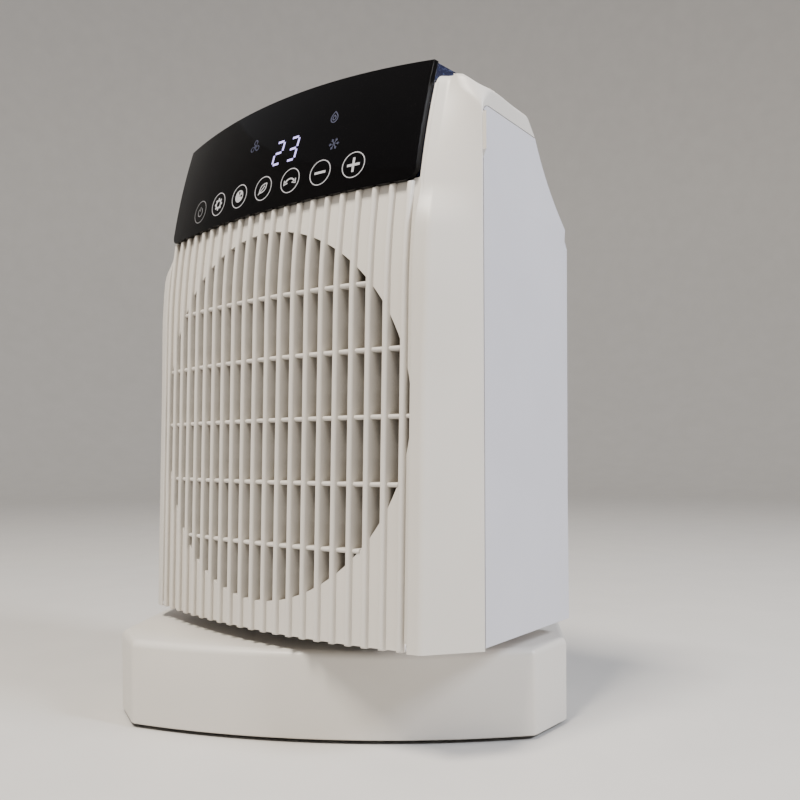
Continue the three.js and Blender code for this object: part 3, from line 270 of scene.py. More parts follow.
def head_side(z):
    """Outline of the head's right side at a height, from the front field's edge to the rear's middle."""
    inner = mix(FIELD_HALF_WIDTH, BAY_HALF_WIDTH, smooth(z, *FIELD_EDGE_RISE))
    recessed = smooth(z, *STRIP_RECESS_RISE)
    spread = FRONT_CORNER_SPREAD * smooth(z, *SPREAD_RISE)
    corner_x = mix(FRONT_CORNER_X + spread, RECESSED_CORNER_X, recessed)
    drift = z - HEAD_BOTTOM
    seam = (SEAM_CORNER[0] - SIDE_LEAN_IN * drift, SEAM_CORNER[1] + SEAM_LEAN_BACK * drift)
    rear = (REAR_CORNER[0] - SIDE_LEAN_IN * drift, rear_y(z))
    near_x = corner_x - FRONT_CORNER_INSET
    near = (near_x, strip_y(near_x, z))
    far = (corner_x, strip_y(corner_x, z))
    middle = (0, rear[1])
    seam_rounding = CHEEK_RADIUS + CAP_EXTRA_RADIUS * smooth(z, *CHEEK_RADIUS_RISE)
    rear_rounding = mix(*REAR_CORNER_RADII, smooth(z, *REAR_RADIUS_FALL))
    front_arc = rounded_corner(near, far, seam, FRONT_CORNER_RADIUS, CORNER_STEPS)
    seam_arc = rounded_corner(far, seam, rear, seam_rounding, SEAM_STEPS)
    rear_arc = rounded_corner(seam, rear, middle, rear_rounding, CORNER_STEPS)
    cap_shift = CAP_SEAM_SHIFT * smooth(z, *CAP_SHIFT_RISE)
    along = SEAM_BEHIND_CORNER + seam_shift(z) + cap_shift
    length = math.dist(seam, rear)
    front_edge = between(seam, rear, along / length)
    rear_edge = between(seam, rear, (along + SEAM_GAP) / length)
    points = [(inner, strip_y(inner, z) + LIP_DEPTH)]
    for i in range(LIP_STEPS - 1):
        angle = math.pi / 2 * i / (LIP_STEPS - 2)
        x = inner + STRIP_EDGE_RADIUS * (1 - math.cos(angle))
        points.append((x, strip_y(x, z) + STRIP_EDGE_RADIUS * (1 - math.sin(angle))))
    first = points[-1][0]
    for i in range(1, STRIP_STEPS):
        x = mix(first, front_arc[0][0], i / STRIP_STEPS)
        points.append((x, strip_y(x, z)))
    points += front_arc
    points += [between(front_arc[-1], seam_arc[0], i / CHEEK_STEPS) for i in range(1, CHEEK_STEPS)]
    points += seam_arc + [front_edge, rear_edge]
    points += [between(rear_edge, rear_arc[0], i / SIDE_STEPS) for i in range(1, SIDE_STEPS)]
    points += rear_arc
    points += [between(rear_arc[-1], middle, i / REAR_STEPS) for i in range(1, REAR_STEPS + 1)]
    return points


STRIP_COLUMN = LIP_STEPS - 1
SEAM_COLUMN = LIP_STEPS + STRIP_STEPS - 1 + CORNER_STEPS + 1 + CHEEK_STEPS - 1 + SEAM_STEPS + 1


# ---- Mesh helpers ----------------------------------------


MERGE_DISTANCE = 0.001


def mesh_object(name, place, points, faces, closed=True):
    """A new object from points in millimetres; a closed one has its faces turned outwards."""
    mesh = bpy.data.meshes.new(name)
    mesh.from_pydata([place @ Vector(point) for point in points], [], faces)
    work = bmesh.new()
    work.from_mesh(mesh)
    bmesh.ops.remove_doubles(work, verts=work.verts, dist=MERGE_DISTANCE * MM)
    loose = [vertex for vertex in work.verts if not vertex.link_faces]
    bmesh.ops.delete(work, geom=loose, context="VERTS")
    if closed:
        bmesh.ops.recalc_face_normals(work, faces=work.faces)
    work.to_mesh(mesh)
    work.free()
    mesh.shade_smooth()
    piece = bpy.data.objects.new(name, mesh)
    bpy.context.scene.collection.objects.link(piece)
    return piece


def thicken(piece, thickness):
    """Gives a sheet its thickness, behind the side that it shows."""
    solidify = piece.modifiers.new("thickness", "SOLIDIFY")
    solidify.thickness = thickness * MM
    solidify.offset = -1


def soften(piece, width, segments=3, angle=40):
    """Rounds a piece's sharp edges and keeps its flat faces flat."""
    bevel = piece.modifiers.new("edges", "BEVEL")
    bevel.width = width * MM
    bevel.segments = segments
    bevel.limit_method = "ANGLE"
    bevel.angle_limit = math.radians(angle)
    bevel.harden_normals = True
    piece.data.shade_smooth()


def finished(piece, material, body, slot, *nodes):
    """Gives a piece its material, its body, and the CAD nodes that it stands in for. Its slot argument is not
    used.
    """
    piece.data.materials.append(material)
    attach(piece, body)
    if nodes:
        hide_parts(*nodes)


def skin(rows, keep=None, wrap=False):
    """Faces between rows of equal length; keep(row, column) says which stay."""
    count = len(rows[0])
    points = [point for row in rows for point in row]
    faces = []
    for r in range(len(rows) - 1):
        for c in range(count if wrap else count - 1):
            if keep is None or keep(r, c):
                a, b = r * count + c, r * count + (c + 1) % count
                faces.append((a, b, b + count, a + count))
    return points, faces


def add_bar(points, faces, sections):
    """Adds a closed bar through sections of equal length, capped at both ends."""
    first = len(points)
    count = len(sections[0])
    for section in sections:
        points += section
    for row in range(len(sections) - 1):
        for c in range(count):
            a, b = first + row * count + c, first + row * count + (c + 1) % count
            faces.append((a, b, b + count, a + count))
    faces.append(tuple(range(first, first + count)))
    faces.append(tuple(range(len(points) - count, len(points))))


# ---- Materials -------------------------------------------


def principled(name, color, roughness, metallic=0.0):
    material = bpy.data.materials.new(name)
    material.use_nodes = True
    shader = material.node_tree.nodes["Principled BSDF"]
    shader.inputs["Base Color"].default_value = (*color, 1)
    shader.inputs["Roughness"].default_value = roughness
    shader.inputs["Metallic"].default_value = metallic
    return material, shader


def add_node(material, kind, **inputs):
    node = material.node_tree.nodes.new(kind)
    for key, value in inputs.items():
        node.inputs[key.replace("_", " ")].default_value = value
    return node


def noise(material, scale, detail=3.0, stretch=(1, 1, 1)):
    coordinates = material.node_tree.nodes.new("ShaderNodeTexCoord")
    mapping = add_node(material, "ShaderNodeMapping", Scale=stretch)
    texture = add_node(material, "ShaderNodeTexNoise", Scale=scale, Detail=detail)
    material.node_tree.links.new(coordinates.outputs["Object"], mapping.inputs["Vector"])
    material.node_tree.links.new(mapping.outputs["Vector"], texture.inputs["Vector"])
    return texture


def vary_color(material, shader, texture, dark, light, low_share=0.3, high_share=0.7):
    ramp = material.node_tree.nodes.new("ShaderNodeValToRGB")
    ramp.color_ramp.elements[0].position = low_share
    ramp.color_ramp.elements[1].position = high_share
    ramp.color_ramp.elements[0].color = (*dark, 1)
    ramp.color_ramp.elements[1].color = (*light, 1)
    material.node_tree.links.new(texture.outputs["Fac"], ramp.inputs["Fac"])
    material.node_tree.links.new(ramp.outputs["Color"], shader.inputs["Base Color"])


def vary_roughness(material, shader, texture, smoothest, roughest):
    spread = add_node(material, "ShaderNodeMapRange", To_Min=smoothest, To_Max=roughest)
    material.node_tree.links.new(texture.outputs["Fac"], spread.inputs["Value"])
    material.node_tree.links.new(spread.outputs["Result"], shader.inputs["Roughness"])


def add_bump(material, shader, texture, strength, distance):
    bump = add_node(material, "ShaderNodeBump", Strength=strength, Distance=distance)
    material.node_tree.links.new(texture.outputs["Fac"], bump.inputs["Height"])
    material.node_tree.links.new(bump.outputs["Normal"], shader.inputs["Normal"])


def shades(color, spread):
    """A darker and a lighter shade of a colour."""
    dark = tuple(channel * (1 - spread) for channel in color)
    light = tuple(min(1, channel * (1 + spread)) for channel in color)
    return dark, light


def moulded(name, color, roughness, grain=0.12, spread=0.025):
    """Moulded plastic or rubber: faint clouds in colour and gloss, and a fine grain."""
    material, shader = principled(name, color, roughness)
    vary_color(material, shader, noise(material, 18), *shades(color, spread))
    vary_roughness(material, shader, noise(material, 60), roughness - 0.05, roughness + 0.05)
    add_bump(material, shader, noise(material, 2600, 2.0), grain, 0.00006)
    return material


# How far the painted shade between close surfaces reaches.
PAINTED_SHADE_REACH = 0.012


def paint_gap_shade(material, shader, deep):
    """Paints shade into the colour where surfaces face each other closely, as between ribs."""
    links = material.node_tree.links
    clouds = shader.inputs["Base Color"].links[0].from_socket
    painted_shade_mask = add_node(material, "ShaderNodeAmbientOcclusion", Distance=PAINTED_SHADE_REACH)
    painted_shade_mask.samples = 8
    ramp = material.node_tree.nodes.new("ShaderNodeValToRGB")
    ramp.color_ramp.elements[0].position = 0.1
    ramp.color_ramp.elements[1].position = 0.46
    ramp.color_ramp.elements[0].color = (*deep, 1)
    ramp.color_ramp.elements[1].color = (1, 1, 1, 1)
    product = material.node_tree.nodes.new("ShaderNodeMix")
    product.data_type = "RGBA"
    product.blend_type = "MULTIPLY"
    product.inputs["Factor"].default_value = 1
    links.new(painted_shade_mask.outputs["AO"], ramp.inputs["Fac"])
    links.new(clouds, product.inputs[6])
    links.new(ramp.outputs["Color"], product.inputs[7])
    links.new(product.outputs[2], shader.inputs["Base Color"])


def outlet_plastic_with_painted_shade():
    """The ribs' plastic, with shade painted into its colour deep between them."""
    material = moulded("outlet_plastic_with_painted_shade", (0.70, 0.665, 0.61), 0.4)
    # Deep warm brown: the colour of the shade painted between the ribs.
    paint_gap_shade(material, material.node_tree.nodes["Principled BSDF"], (0.16, 0.135, 0.10))
    return material


def plated(name, color, roughness, stretch=(1, 1, 12)):
    """Plated or brushed metal: drawn-out streaks in colour and gloss, and fine scratches."""
    material, shader = principled(name, color, roughness, 1.0)
    streaks = noise(material, 220, 4.0, stretch)
    vary_color(material, shader, streaks, *shades(color, 0.12))
    vary_roughness(material, shader, streaks, roughness - 0.1, roughness + 0.1)
    add_bump(material, shader, noise(material, 1500, 2.0, stretch), 0.15, 0.00004)
    return material


def glossy_black():
    """Black acrylic: deep gloss with the faintest smears."""
    color = (0.0025, 0.0023, 0.0025)
    material, shader = principled("panel_black", color, 0.05)
    shader.inputs["Specular IOR Level"].default_value = 0.07
    vary_color(material, shader, noise(material, 14), *shades(color, 0.3))
    vary_roughness(material, shader, noise(material, 40, 4.0, (1, 1, 3)), 0.03, 0.09)
    add_bump(material, shader, noise(material, 30), 0.02, 0.0002)
    return material


def navy_film_with_painted_glints():
    """Dark blue film over the panel module's side; its crinkles have a bump, and pale highlights painted into
    their colour.
    """
    material, shader = principled("panel_side", (0.012, 0.02, 0.09), 0.2)
    crinkle_and_painted_glint = noise(material, 230, 5.0, (0.5, 1, 1.6))
    crinkle_and_painted_glint.inputs["Distortion"].default_value = 1.4
    # The ramp's pale end is painted highlight along the crinkles.
    vary_color(material, shader, crinkle_and_painted_glint, (0.006, 0.009, 0.04), (0.10, 0.14, 0.27), 0.52, 0.78)
    add_bump(material, shader, crinkle_and_painted_glint, 0.5, 0.0006)
    return material


def circuit_board():
    """Green lacquer over slightly raised tracks."""
    material, shader = principled("board", (0.03, 0.16, 0.06), 0.4)
    tracks = noise(material, 350, 1.0)
    vary_color(material, shader, tracks, (0.02, 0.12, 0.045), (0.05, 0.22, 0.09), 0.45, 0.55)
    add_bump(material, shader, tracks, 0.3, 0.0001)
    return material


def glowing(name, color, strength):
    """A lit print on the panel, slightly uneven."""
    material, shader = principled(name, color, 0.4)
    vary_color(material, shader, noise(material, 300), *shades(color, 0.08))
    shader.inputs["Emission Color"].default_value = (*color, 1)
    shader.inputs["Emission Strength"].default_value = strength
    return material


FINISHES = {
    "white_plastic": moulded("warm_white_plastic", (0.67, 0.64, 0.59), 0.4),
    # A cooler, bluer copy of the white plastic for the rear shell: painted cool light on the head's side.
    "shell_plastic": moulded("white_plastic", (0.63, 0.625, 0.67), 0.4),
    "panel_black": glossy_black(),
    "panel_side": navy_film_with_painted_glints(),
    "dark_plastic": moulded("dark_plastic", (0.022, 0.022, 0.024), 0.45, 0.25, 0.15),
    # Dark brown heater plastic, darkened to paint the shade seen deep through the outlet.
    "heat_plastic": moulded("heat_plastic", (0.12, 0.108, 0.09), 0.6, 0.3, 0.1),
    "nylon": moulded("nylon", (0.66, 0.64, 0.57), 0.45, 0.1, 0.05),
    "rubber": moulded("rubber", (0.02, 0.02, 0.021), 0.75, 0.5, 0.2),
    "steel": plated("steel", (0.5, 0.51, 0.52), 0.35),
    "zinc": plated("zinc", (0.6, 0.61, 0.63), 0.28),
    # Aluminium kept far darker than bare aluminium, to paint the shade seen deep through the outlet.
    "aluminium": plated("aluminium", (0.42, 0.40, 0.37), 0.45, (1, 1, 4)),
    "board": circuit_board(),
    "relay_blue": moulded("relay_blue", (0.02, 0.08, 0.28), 0.4, 0.1, 0.1),
    "capacitor_sleeve": moulded("capacitor_sleeve", (0.02, 0.025, 0.07), 0.3, 0.1, 0.1),
    "filter_mesh": moulded("filter_mesh", (0.06, 0.063, 0.07), 0.7, 0.3, 0.15),
}
WHITE = FINISHES["white_plastic"]
SHELL_WITH_PAINTED_COOL_LIGHT = FINISHES["shell_plastic"]
# Outlet plastic with painted shade deep between the ribs.
OUTLET_WITH_PAINTED_SHADE = outlet_plastic_with_painted_shade()
ICON_PRINT = glowing("icon_print", (0.47, 0.47, 0.5), 0.1)
DIGIT_GLOW = glowing("digit_glow", (0.50, 0.44, 0.95), 1.1)
FAINT_PRINT = glowing("faint_print", (0.19, 0.19, 0.2), 0.1)
DIM_PRINT = glowing("dim_print", (0.05, 0.055, 0.1), 0.05)

# ---- Head shells -----------------------------------------


SEAM_CORNER_STEPS = 6


def levels_up(start, end, count):
    """Evenly spaced heights above start, up to end."""
    return [mix(start, end, i / count) for i in range(1, count + 1)]


def lower_heights():
    """Heights of the head's level rings, up to the underside of the cap seam."""
    field_end, bay_start = FIELD_TO_BAY
    corner_start = CAP_SEAM_Z - CAP_SEAM_RADIUS
    heights = [HEAD_BOTTOM, REAR_BOTTOM]
    heights += levels_up(REAR_BOTTOM, LEAN_START, 10)
    heights += levels_up(LEAN_START, field_end, 10)
    heights += levels_up(field_end, bay_start, 12)
    heights += levels_up(bay_start, corner_start, 6)
    seam_under = CAP_SEAM_Z - SEAM_GAP / 2
    turn = math.asin((seam_under - corner_start) / CAP_SEAM_RADIUS)
    for i in range(1, SEAM_CORNER_STEPS + 1):
        heights.append(corner_start + CAP_SEAM_RADIUS * math.sin(turn * i / SEAM_CORNER_STEPS))
    return heights


TABLE_STEP = 0.5
TABLE_ROWS = 54
TABLE_LOW = CAP_SEAM_Z - 2
SIDE_TABLE = [head_side(TABLE_LOW + TABLE_STEP * i) for i in range(TABLE_ROWS)]
SIDE_COLUMNS = len(SIDE_TABLE[0])


def side_point(column, z):
    """A point of the right side at any height of the cap, from the table of its outlines."""
    place = (z - TABLE_LOW) / TABLE_STEP
    index = min(len(SIDE_TABLE) - 2, int(place))
    return between(SIDE_TABLE[index][column], SIDE_TABLE[index + 1][column], place - index)


def rim_radius(column):
    """Rounding of the cap's rim: wide in front, tighter along the sides and the rear."""
    first = LIP_STEPS + STRIP_STEPS + CORNER_STEPS // 2
    last = SEAM_COLUMN + 4
    return mix(FRONT_RIM_RADIUS, SIDE_RIM_RADIUS, smooth(column, first, last))


BAY_CORNER_RUN = 12
BAY_SIDE_SHARE = 0.3


def bay_target(column, start):
    """Where a column of the top ends at the edge of the panel's bay."""
    x, y = side_point(column, DECK_Z)
    if y > BAY_BACK_Y and x < BAY_HALF_WIDTH:
        return (x, BAY_BACK_Y)
    outline = [side_point(c, DECK_Z) for c in range(STRIP_COLUMN, column + 1)]
    along = sum(math.dist(outline[i], outline[i + 1]) for i in range(len(outline) - 1))
    return (BAY_HALF_WIDTH, min(BAY_BACK_Y, start + BAY_CORNER_RUN + BAY_SIDE_SHARE * along))


CAP_STEPS = 6
RIM_STEPS = 8
DECK_STEPS = 8
SETTLING_ROUNDS = 3
BAY_EDGE_DROP = 0.5
BAY_WALL_DEPTH = 5


def cap_column(column):
    """Points of one column of the cap, from above its seam over the rim to the panel's bay."""
    target = bay_target(column, side_point(STRIP_COLUMN, DECK_Z)[1])
    edge = side_point(column, DECK_Z)
    radius = rim_radius(column)
    toward = (Vector(target) - Vector(edge)).normalized()
    for _ in range(SETTLING_ROUNDS):
        inner = Vector(edge) + toward * radius
        top = deck_z(*inner)
        edge = side_point(column, top - radius / 2)
    seam_over = CAP_SEAM_Z + SEAM_GAP / 2
    points = []
    for i in range(CAP_STEPS + 1):
        z = mix(seam_over, top - radius, i / CAP_STEPS)
        points.append((*side_point(column, z), z))
    for i in range(1, RIM_STEPS + 1):
        angle = math.pi / 2 * i / RIM_STEPS
        z = top - radius + radius * math.sin(angle)
        x, y = Vector(side_point(column, z)) + toward * (radius * (1 - math.cos(angle)))
        points.append((x, y, z))
    start = points[-1]
    for i in range(1, DECK_STEPS + 1):
        x, y = between(start, target, i / DECK_STEPS)
        fade = mix(start[2] - deck_z(*start[:2]), 0, i / DECK_STEPS)
        points.append((x, y, deck_z(x, y) + fade))
    x, y, z = points[-1]
    points[-1] = (x, y, z - BAY_EDGE_DROP)
    points.append((x, y, z - BAY_WALL_DEPTH))
    return points


def mirrored_ring(side):
    """The right side's points, then their mirror images back to the front on the left."""
    return side + [(-x, y, z) for x, y, z in reversed(side[:-1])]


def head_rings():
    """The whole head as rings of points: level ones up to the seam, then over the cap and its deck."""
    rings = [mirrored_ring([(x, y, z) for x, y in head_side(z)]) for z in lower_heights()]
    columns = [cap_column(column) for column in range(SIDE_COLUMNS)]
    rings += [mirrored_ring(list(row)) for row in zip(*columns)]
    return rings


RINGS = head_rings()
CAP_ROW = len(lower_heights())
RIM_ROW = CAP_ROW + CAP_STEPS
LAST_COLUMN = len(RINGS[0]) - 1


def side_of(column):
    """A cell's place counted from the nearer front edge: its lower column."""
    return min(column, LAST_COLUMN - 1 - column)


def in_front_shell(row, column):
    """Whether a cell is the front shell's: all before the upright seams, and the cap."""
    if row >= RIM_ROW:
        return side_of(column) >= STRIP_COLUMN
    return row >= CAP_ROW or side_of(column) < SEAM_COLUMN


def in_intake(row, column):
    """Whether a cell lies in the air intake behind the rear grille."""
    corners = [RINGS[row + i][column + j] for i in (0, 1) for j in (0, 1)]
    inside = all(abs(x) < INTAKE_HALF_WIDTH and y > 0 for x, y, z in corners)
    return inside and all(FILTER_BOTTOM < z < FILTER_TOP for x, y, z in corners)


def in_rear_shell(row, column):
    return 1 <= row < CAP_ROW - 1 and side_of(column) > SEAM_COLUMN and not in_intake(row, column)


def rows_to_hub(edge, shares):
    """Level rows of points from an outline in to the round hole for the swivel's hub."""
    rows = []
    for share in shares:
        row = []
        for x, y, z in edge:
            length = math.hypot(x, y)
            hole = (x / length * HUB_HOLE_RADIUS, y / length * HUB_HOLE_RADIUS)
            row.append((*between((x, y), hole, share), z))
        rows.append(row)
    return rows


def front_shell():
    points, faces = skin(RINGS, in_front_shell)
    piece = mesh_object("front_shell_casing", HEAD_PLACE, points, faces, closed=False)
    thicken(piece, SHELL_THICKNESS)
    soften(piece, 0.3, 2)
    finished(piece, WHITE, "head", "white_plastic", "front_shell")


SHELL_FLOOR_SHRINK = (0.99, 0.985)
SHELL_FLOOR_RISE = 1


def shell_floor():
    """The rear shell's floor, from just inside its lowest ring to the hole for the swivel's hub."""
    across, deep = SHELL_FLOOR_SHRINK
    edge = [(x * across, y * deep, REAR_BOTTOM + SHELL_FLOOR_RISE) for x, y, z in RINGS[1]]
    rows = [edge] + rows_to_hub(edge, (0.4, 0.8, 1))
    piece = mesh_object("rear_shell_floor", HEAD_PLACE, *skin(rows, wrap=True), closed=False)
    thicken(piece, SHELL_FLOOR_THICKNESS)
    finished(piece, SHELL_WITH_PAINTED_COOL_LIGHT, "head", "shell_plastic")


def rear_shell():
    points, faces = skin(RINGS, in_rear_shell)
    piece = mesh_object("rear_shell_casing", HEAD_PLACE, points, faces, closed=False)
    thicken(piece, SHELL_THICKNESS)
    soften(piece, 0.3, 2)
    finished(piece, SHELL_WITH_PAINTED_COOL_LIGHT, "head", "shell_plastic", "rear_shell")


TONGUE_DEPTH = 1.3
TONGUE_DROP_SHARE = 0.4
TONGUE_THICKNESS = 0.8
SIDE_ZONE_WIDTH = 8


def drawn_in(point):
    """A point of the head's outside, moved in behind it: sideways at the sides, forward at the rear."""
    x, y, z = point
    if abs(x) > REAR_CORNER[0] - SIDE_ZONE_WIDTH:
        return (x - math.copysign(TONGUE_DEPTH, x), y, z)
    return (x, y - TONGUE_DEPTH, z - TONGUE_DROP_SHARE * TONGUE_DEPTH)


def in_tongue(row, column):
    """Whether a cell lies along the seam, beside it or under the cap."""
    place = side_of(column)
    beside = abs(place - SEAM_COLUMN) <= 1 and row < CAP_ROW
    under = abs(row - (CAP_ROW - 1)) <= 1 and place >= SEAM_COLUMN - 1
    return 1 <= row and (beside or under)


def seam_tongue():
    """The tongue of the rear shell behind the seam, which closes the gap between the shells."""
    inner = [[drawn_in(point) for point in ring] for ring in RINGS]
    points, faces = skin(inner, in_tongue)
    piece = mesh_object("rear_shell_tongue", HEAD_PLACE, points, faces, closed=False)
    thicken(piece, TONGUE_THICKNESS)
    finished(piece, SHELL_WITH_PAINTED_COOL_LIGHT, "head", "shell_plastic")


front_shell()
rear_shell()
shell_floor()
seam_tongue()

# ---- Outlet ----------------------------------------------

WALL_SPOKES = 144
WALL_RINGS = 5
SMALLEST_SLOPE = 1e-9


def outlet_wall():
    """The wall between the ribs, with the round opening and its short throat."""
    half, bottom, top = FIELD_HALF_WIDTH + WALL_OVERLAP, HEAD_BOTTOM + WALL_LIFT, WALL_TOP
    corners = [math.atan2(z - OUTLET_Z, x) for x in (half, -half) for z in (bottom, top)]
    evenly = [2 * math.pi * i / WALL_SPOKES - math.pi for i in range(WALL_SPOKES)]
    angles = sorted(evenly + corners)
    spokes = []
    for angle in angles:
        c, s = math.cos(angle), math.sin(angle)
        reach_x = half / max(abs(c), SMALLEST_SLOPE)
        end_z = top if s > 0 else bottom
        reach_z = (end_z - OUTLET_Z) / s if abs(s) > SMALLEST_SLOPE else math.inf
        edge = min(reach_x, reach_z)
        radii = [mix(OUTLET_RADIUS, edge, i / WALL_RINGS) for i in range(WALL_RINGS, -1, -1)]
        spoke = []
        for radius in radii:
            x, z = radius * c, OUTLET_Z + radius * s
            spoke.append((x, front_y(x, z) + FIELD_DEPTH, z))
        x, y, z = spoke[-1]
        spoke.append((x, y + THROAT_DEPTH, z))
        spokes.append(spoke)
    rows = list(zip(*spokes))
    piece = mesh_object("outlet_wall", HEAD_PLACE, *skin(rows, wrap=True), closed=False)
    thicken(piece, WALL_THICKNESS)
    soften(piece, 0.35, 2)
    finished(piece, OUTLET_WITH_PAINTED_SHADE, "head", "white_plastic")


RIB_END_STEPS = 4
RIB_LEAN_STEPS = 16
RIB_PANEL_GAP = 0.1
RIB_NOSE_STEPS = 8
CROSS_NOSE_STEPS = 6
CROSS_STEPS = 40
SHARP_ANGLE = math.radians(45)


def rib_levels():
    """Heights along a rib, with how far its round ends are set back."""
    half = RIB_WIDTH / 2
    turns = [math.pi / 2 * i / RIB_END_STEPS for i in range(RIB_END_STEPS + 1)]
    levels = [(HEAD_BOTTOM + half * (1 - math.cos(a)), half * (1 - math.sin(a))) for a in turns[:-1]]
    levels.append((HEAD_BOTTOM + half, 0))
    top = PANEL_BOTTOM - RIB_PANEL_GAP - RIB_END_RADIUS
    levels += [(z, 0) for z in [LEAN_START] + levels_up(LEAN_START, top, RIB_LEAN_STEPS)]
    for a in turns[1:]:
        levels.append((top + RIB_END_RADIUS * math.sin(a), RIB_END_RADIUS * (1 - math.cos(a))))
    return levels


def half_turn(steps):
    """Angles over half a turn, from -90 to 90 degrees."""
    return [math.pi * (i / steps - 0.5) for i in range(steps + 1)]


def outlet_ribs():
    """The upright ribs, each with a round nose that follows the front."""
    points, faces = [], []
    half = RIB_WIDTH / 2
    nose = half_turn(RIB_NOSE_STEPS)
    section = [(half * math.sin(a), half * (1 - math.cos(a))) for a in nose]
    section += [(half, RIB_DEPTH), (-half, RIB_DEPTH)]
    for i in range(RIB_COUNT):
        middle = RIB_PITCH * (i - (RIB_COUNT - 1) / 2)
        bar = []
        for z, setback in rib_levels():
            ring = []
            for across, depth in section:
                x = middle + across
                ring.append((x, front_y(x, z) + max(depth, setback), z))
            bar.append(ring)
        add_bar(points, faces, bar)
    piece = mesh_object("outlet_ribs", HEAD_PLACE, points, faces)
    piece.data.set_sharp_from_angle(angle=SHARP_ANGLE)
    finished(piece, OUTLET_WITH_PAINTED_SHADE, "head", "white_plastic")


def cross_ribs():
    """The level ribs behind the upright ones, each as long as the opening is wide at its height."""
    points, faces = [], []
    half = CROSS_THICKNESS / 2
    nose = half_turn(CROSS_NOSE_STEPS)
    section = [(half * (1 - math.cos(a)), half * math.sin(a)) for a in nose]
    section += [(CROSS_DEPTH, half), (CROSS_DEPTH, -half)]
    for i in range(CROSS_COUNT):
        middle = CROSS_MIDDLE_Z + CROSS_PITCH * (i - (CROSS_COUNT - 1) / 2)
        reach = math.sqrt(OUTLET_RADIUS ** 2 - (middle - OUTLET_Z) ** 2) + CROSS_OVERLAP
        bar = []
        for j in range(CROSS_STEPS + 1):
            x = reach * (2 * j / CROSS_STEPS - 1)
            y = front_y(x, middle) + CROSS_SETBACK
            bar.append([(x, y + depth, middle + rise) for depth, rise in section])
        add_bar(points, faces, bar)
    piece = mesh_object("outlet_cross_ribs", HEAD_PLACE, points, faces)
    piece.data.set_sharp_from_angle(angle=SHARP_ANGLE)
    finished(piece, OUTLET_WITH_PAINTED_SHADE, "head", "white_plastic")


outlet_wall()
outlet_ribs()
cross_ribs()

# ---- Touch panel -----------------------------------------

PANEL_HALF_WIDTH = 93.9
PANEL_TOP_DROP = 4
PANEL_CORNER = 5.5
PANEL_PROUD = 0.8
PANEL_THICKNESS = 3
PANEL_CORNER_STEPS = 8
PANEL_COLUMNS = 40
PANEL_LEVELS = 20
HOUSING_BACK_Y = -5
HOUSING_GAP = 0.2
HOUSING_LIFT = 2
HOUSING_TOP_DROP = 0.7


def panel_top(x):
    """Height of the panel's arched top edge."""
    return PANEL_TOP - PANEL_TOP_DROP * (x / PANEL_HALF_WIDTH) ** 2


def panel_y(x, z):
    return front_y(x, z) - PANEL_PROUD


def panel_back_y(x, z):
    return panel_y(x, z) + PANEL_THICKNESS


def panel_slab(name, half_width, near, far, lift, top_drop):
    """A slab with the panel's outline: rounded lower corners and an arched top."""
    straight = half_width - PANEL_CORNER
    corner = []
    for i in range(PANEL_CORNER_STEPS + 1):
        angle = math.pi / 2 * i / PANEL_CORNER_STEPS
        x = half_width - PANEL_CORNER * (1 - math.sin(angle))
        corner.append((x, PANEL_CORNER * (1 - math.cos(angle))))
    middle = [(straight * (2 * i / PANEL_COLUMNS - 1), 0) for i in range(1, PANEL_COLUMNS)]
    edge = [(-x, rise) for x, rise in reversed(corner)] + middle + corner
    columns = []
    for x, rise in edge:
        bottom, top = PANEL_BOTTOM + lift + rise, panel_top(x) - top_drop
        heights = [bottom] + levels_up(bottom, top, PANEL_LEVELS)
        column = [(x, near(x, z), z) for z in heights]
        columns.append(column + [(x, far(x, z), z) for z in reversed(heights)])
    points, faces = skin(columns, wrap=True)
    count = len(columns[0])
    for first in (0, len(points) - count):
        for j in range(PANEL_LEVELS):
            a, b = first + j, first + count - 1 - j
            faces.append((a, a + 1, b - 1, b))
    return mesh_object(name, HEAD_PLACE, points, faces)


def touch_panel():
    piece = panel_slab("touch_panel_glass", PANEL_HALF_WIDTH, panel_y, panel_back_y, lift=0, top_drop=0)
    soften(piece, 0.4)
    finished(piece, FINISHES["panel_black"], "head", "panel_black", "touch_panel")


def housing_front_y(x, z):
    return panel_back_y(x, z) + HOUSING_GAP


def housing_back_y(x, z):
    return HOUSING_BACK_Y


def panel_housing():
    half_width = PANEL_HALF_WIDTH - HOUSING_GAP
    ends = (HOUSING_LIFT, HOUSING_TOP_DROP)
    piece = panel_slab("panel_housing_block", half_width, housing_front_y, housing_back_y, *ends)
    soften(piece, 0.5)
    finished(piece, FINISHES["panel_side"], "head", "panel_side", "panel_housing")


touch_panel()
panel_housing()

# ---- Panel icons -----------------------------------------

PRINT_PROUD = 0.06
PRINT_SUNK = 0.2
BUTTON_Z = 279.5
BUTTON_PITCH = 20
BUTTON_RADIUS = 6.3
BUTTON_LINE = 0.42
MIDDLE_BUTTON = 3


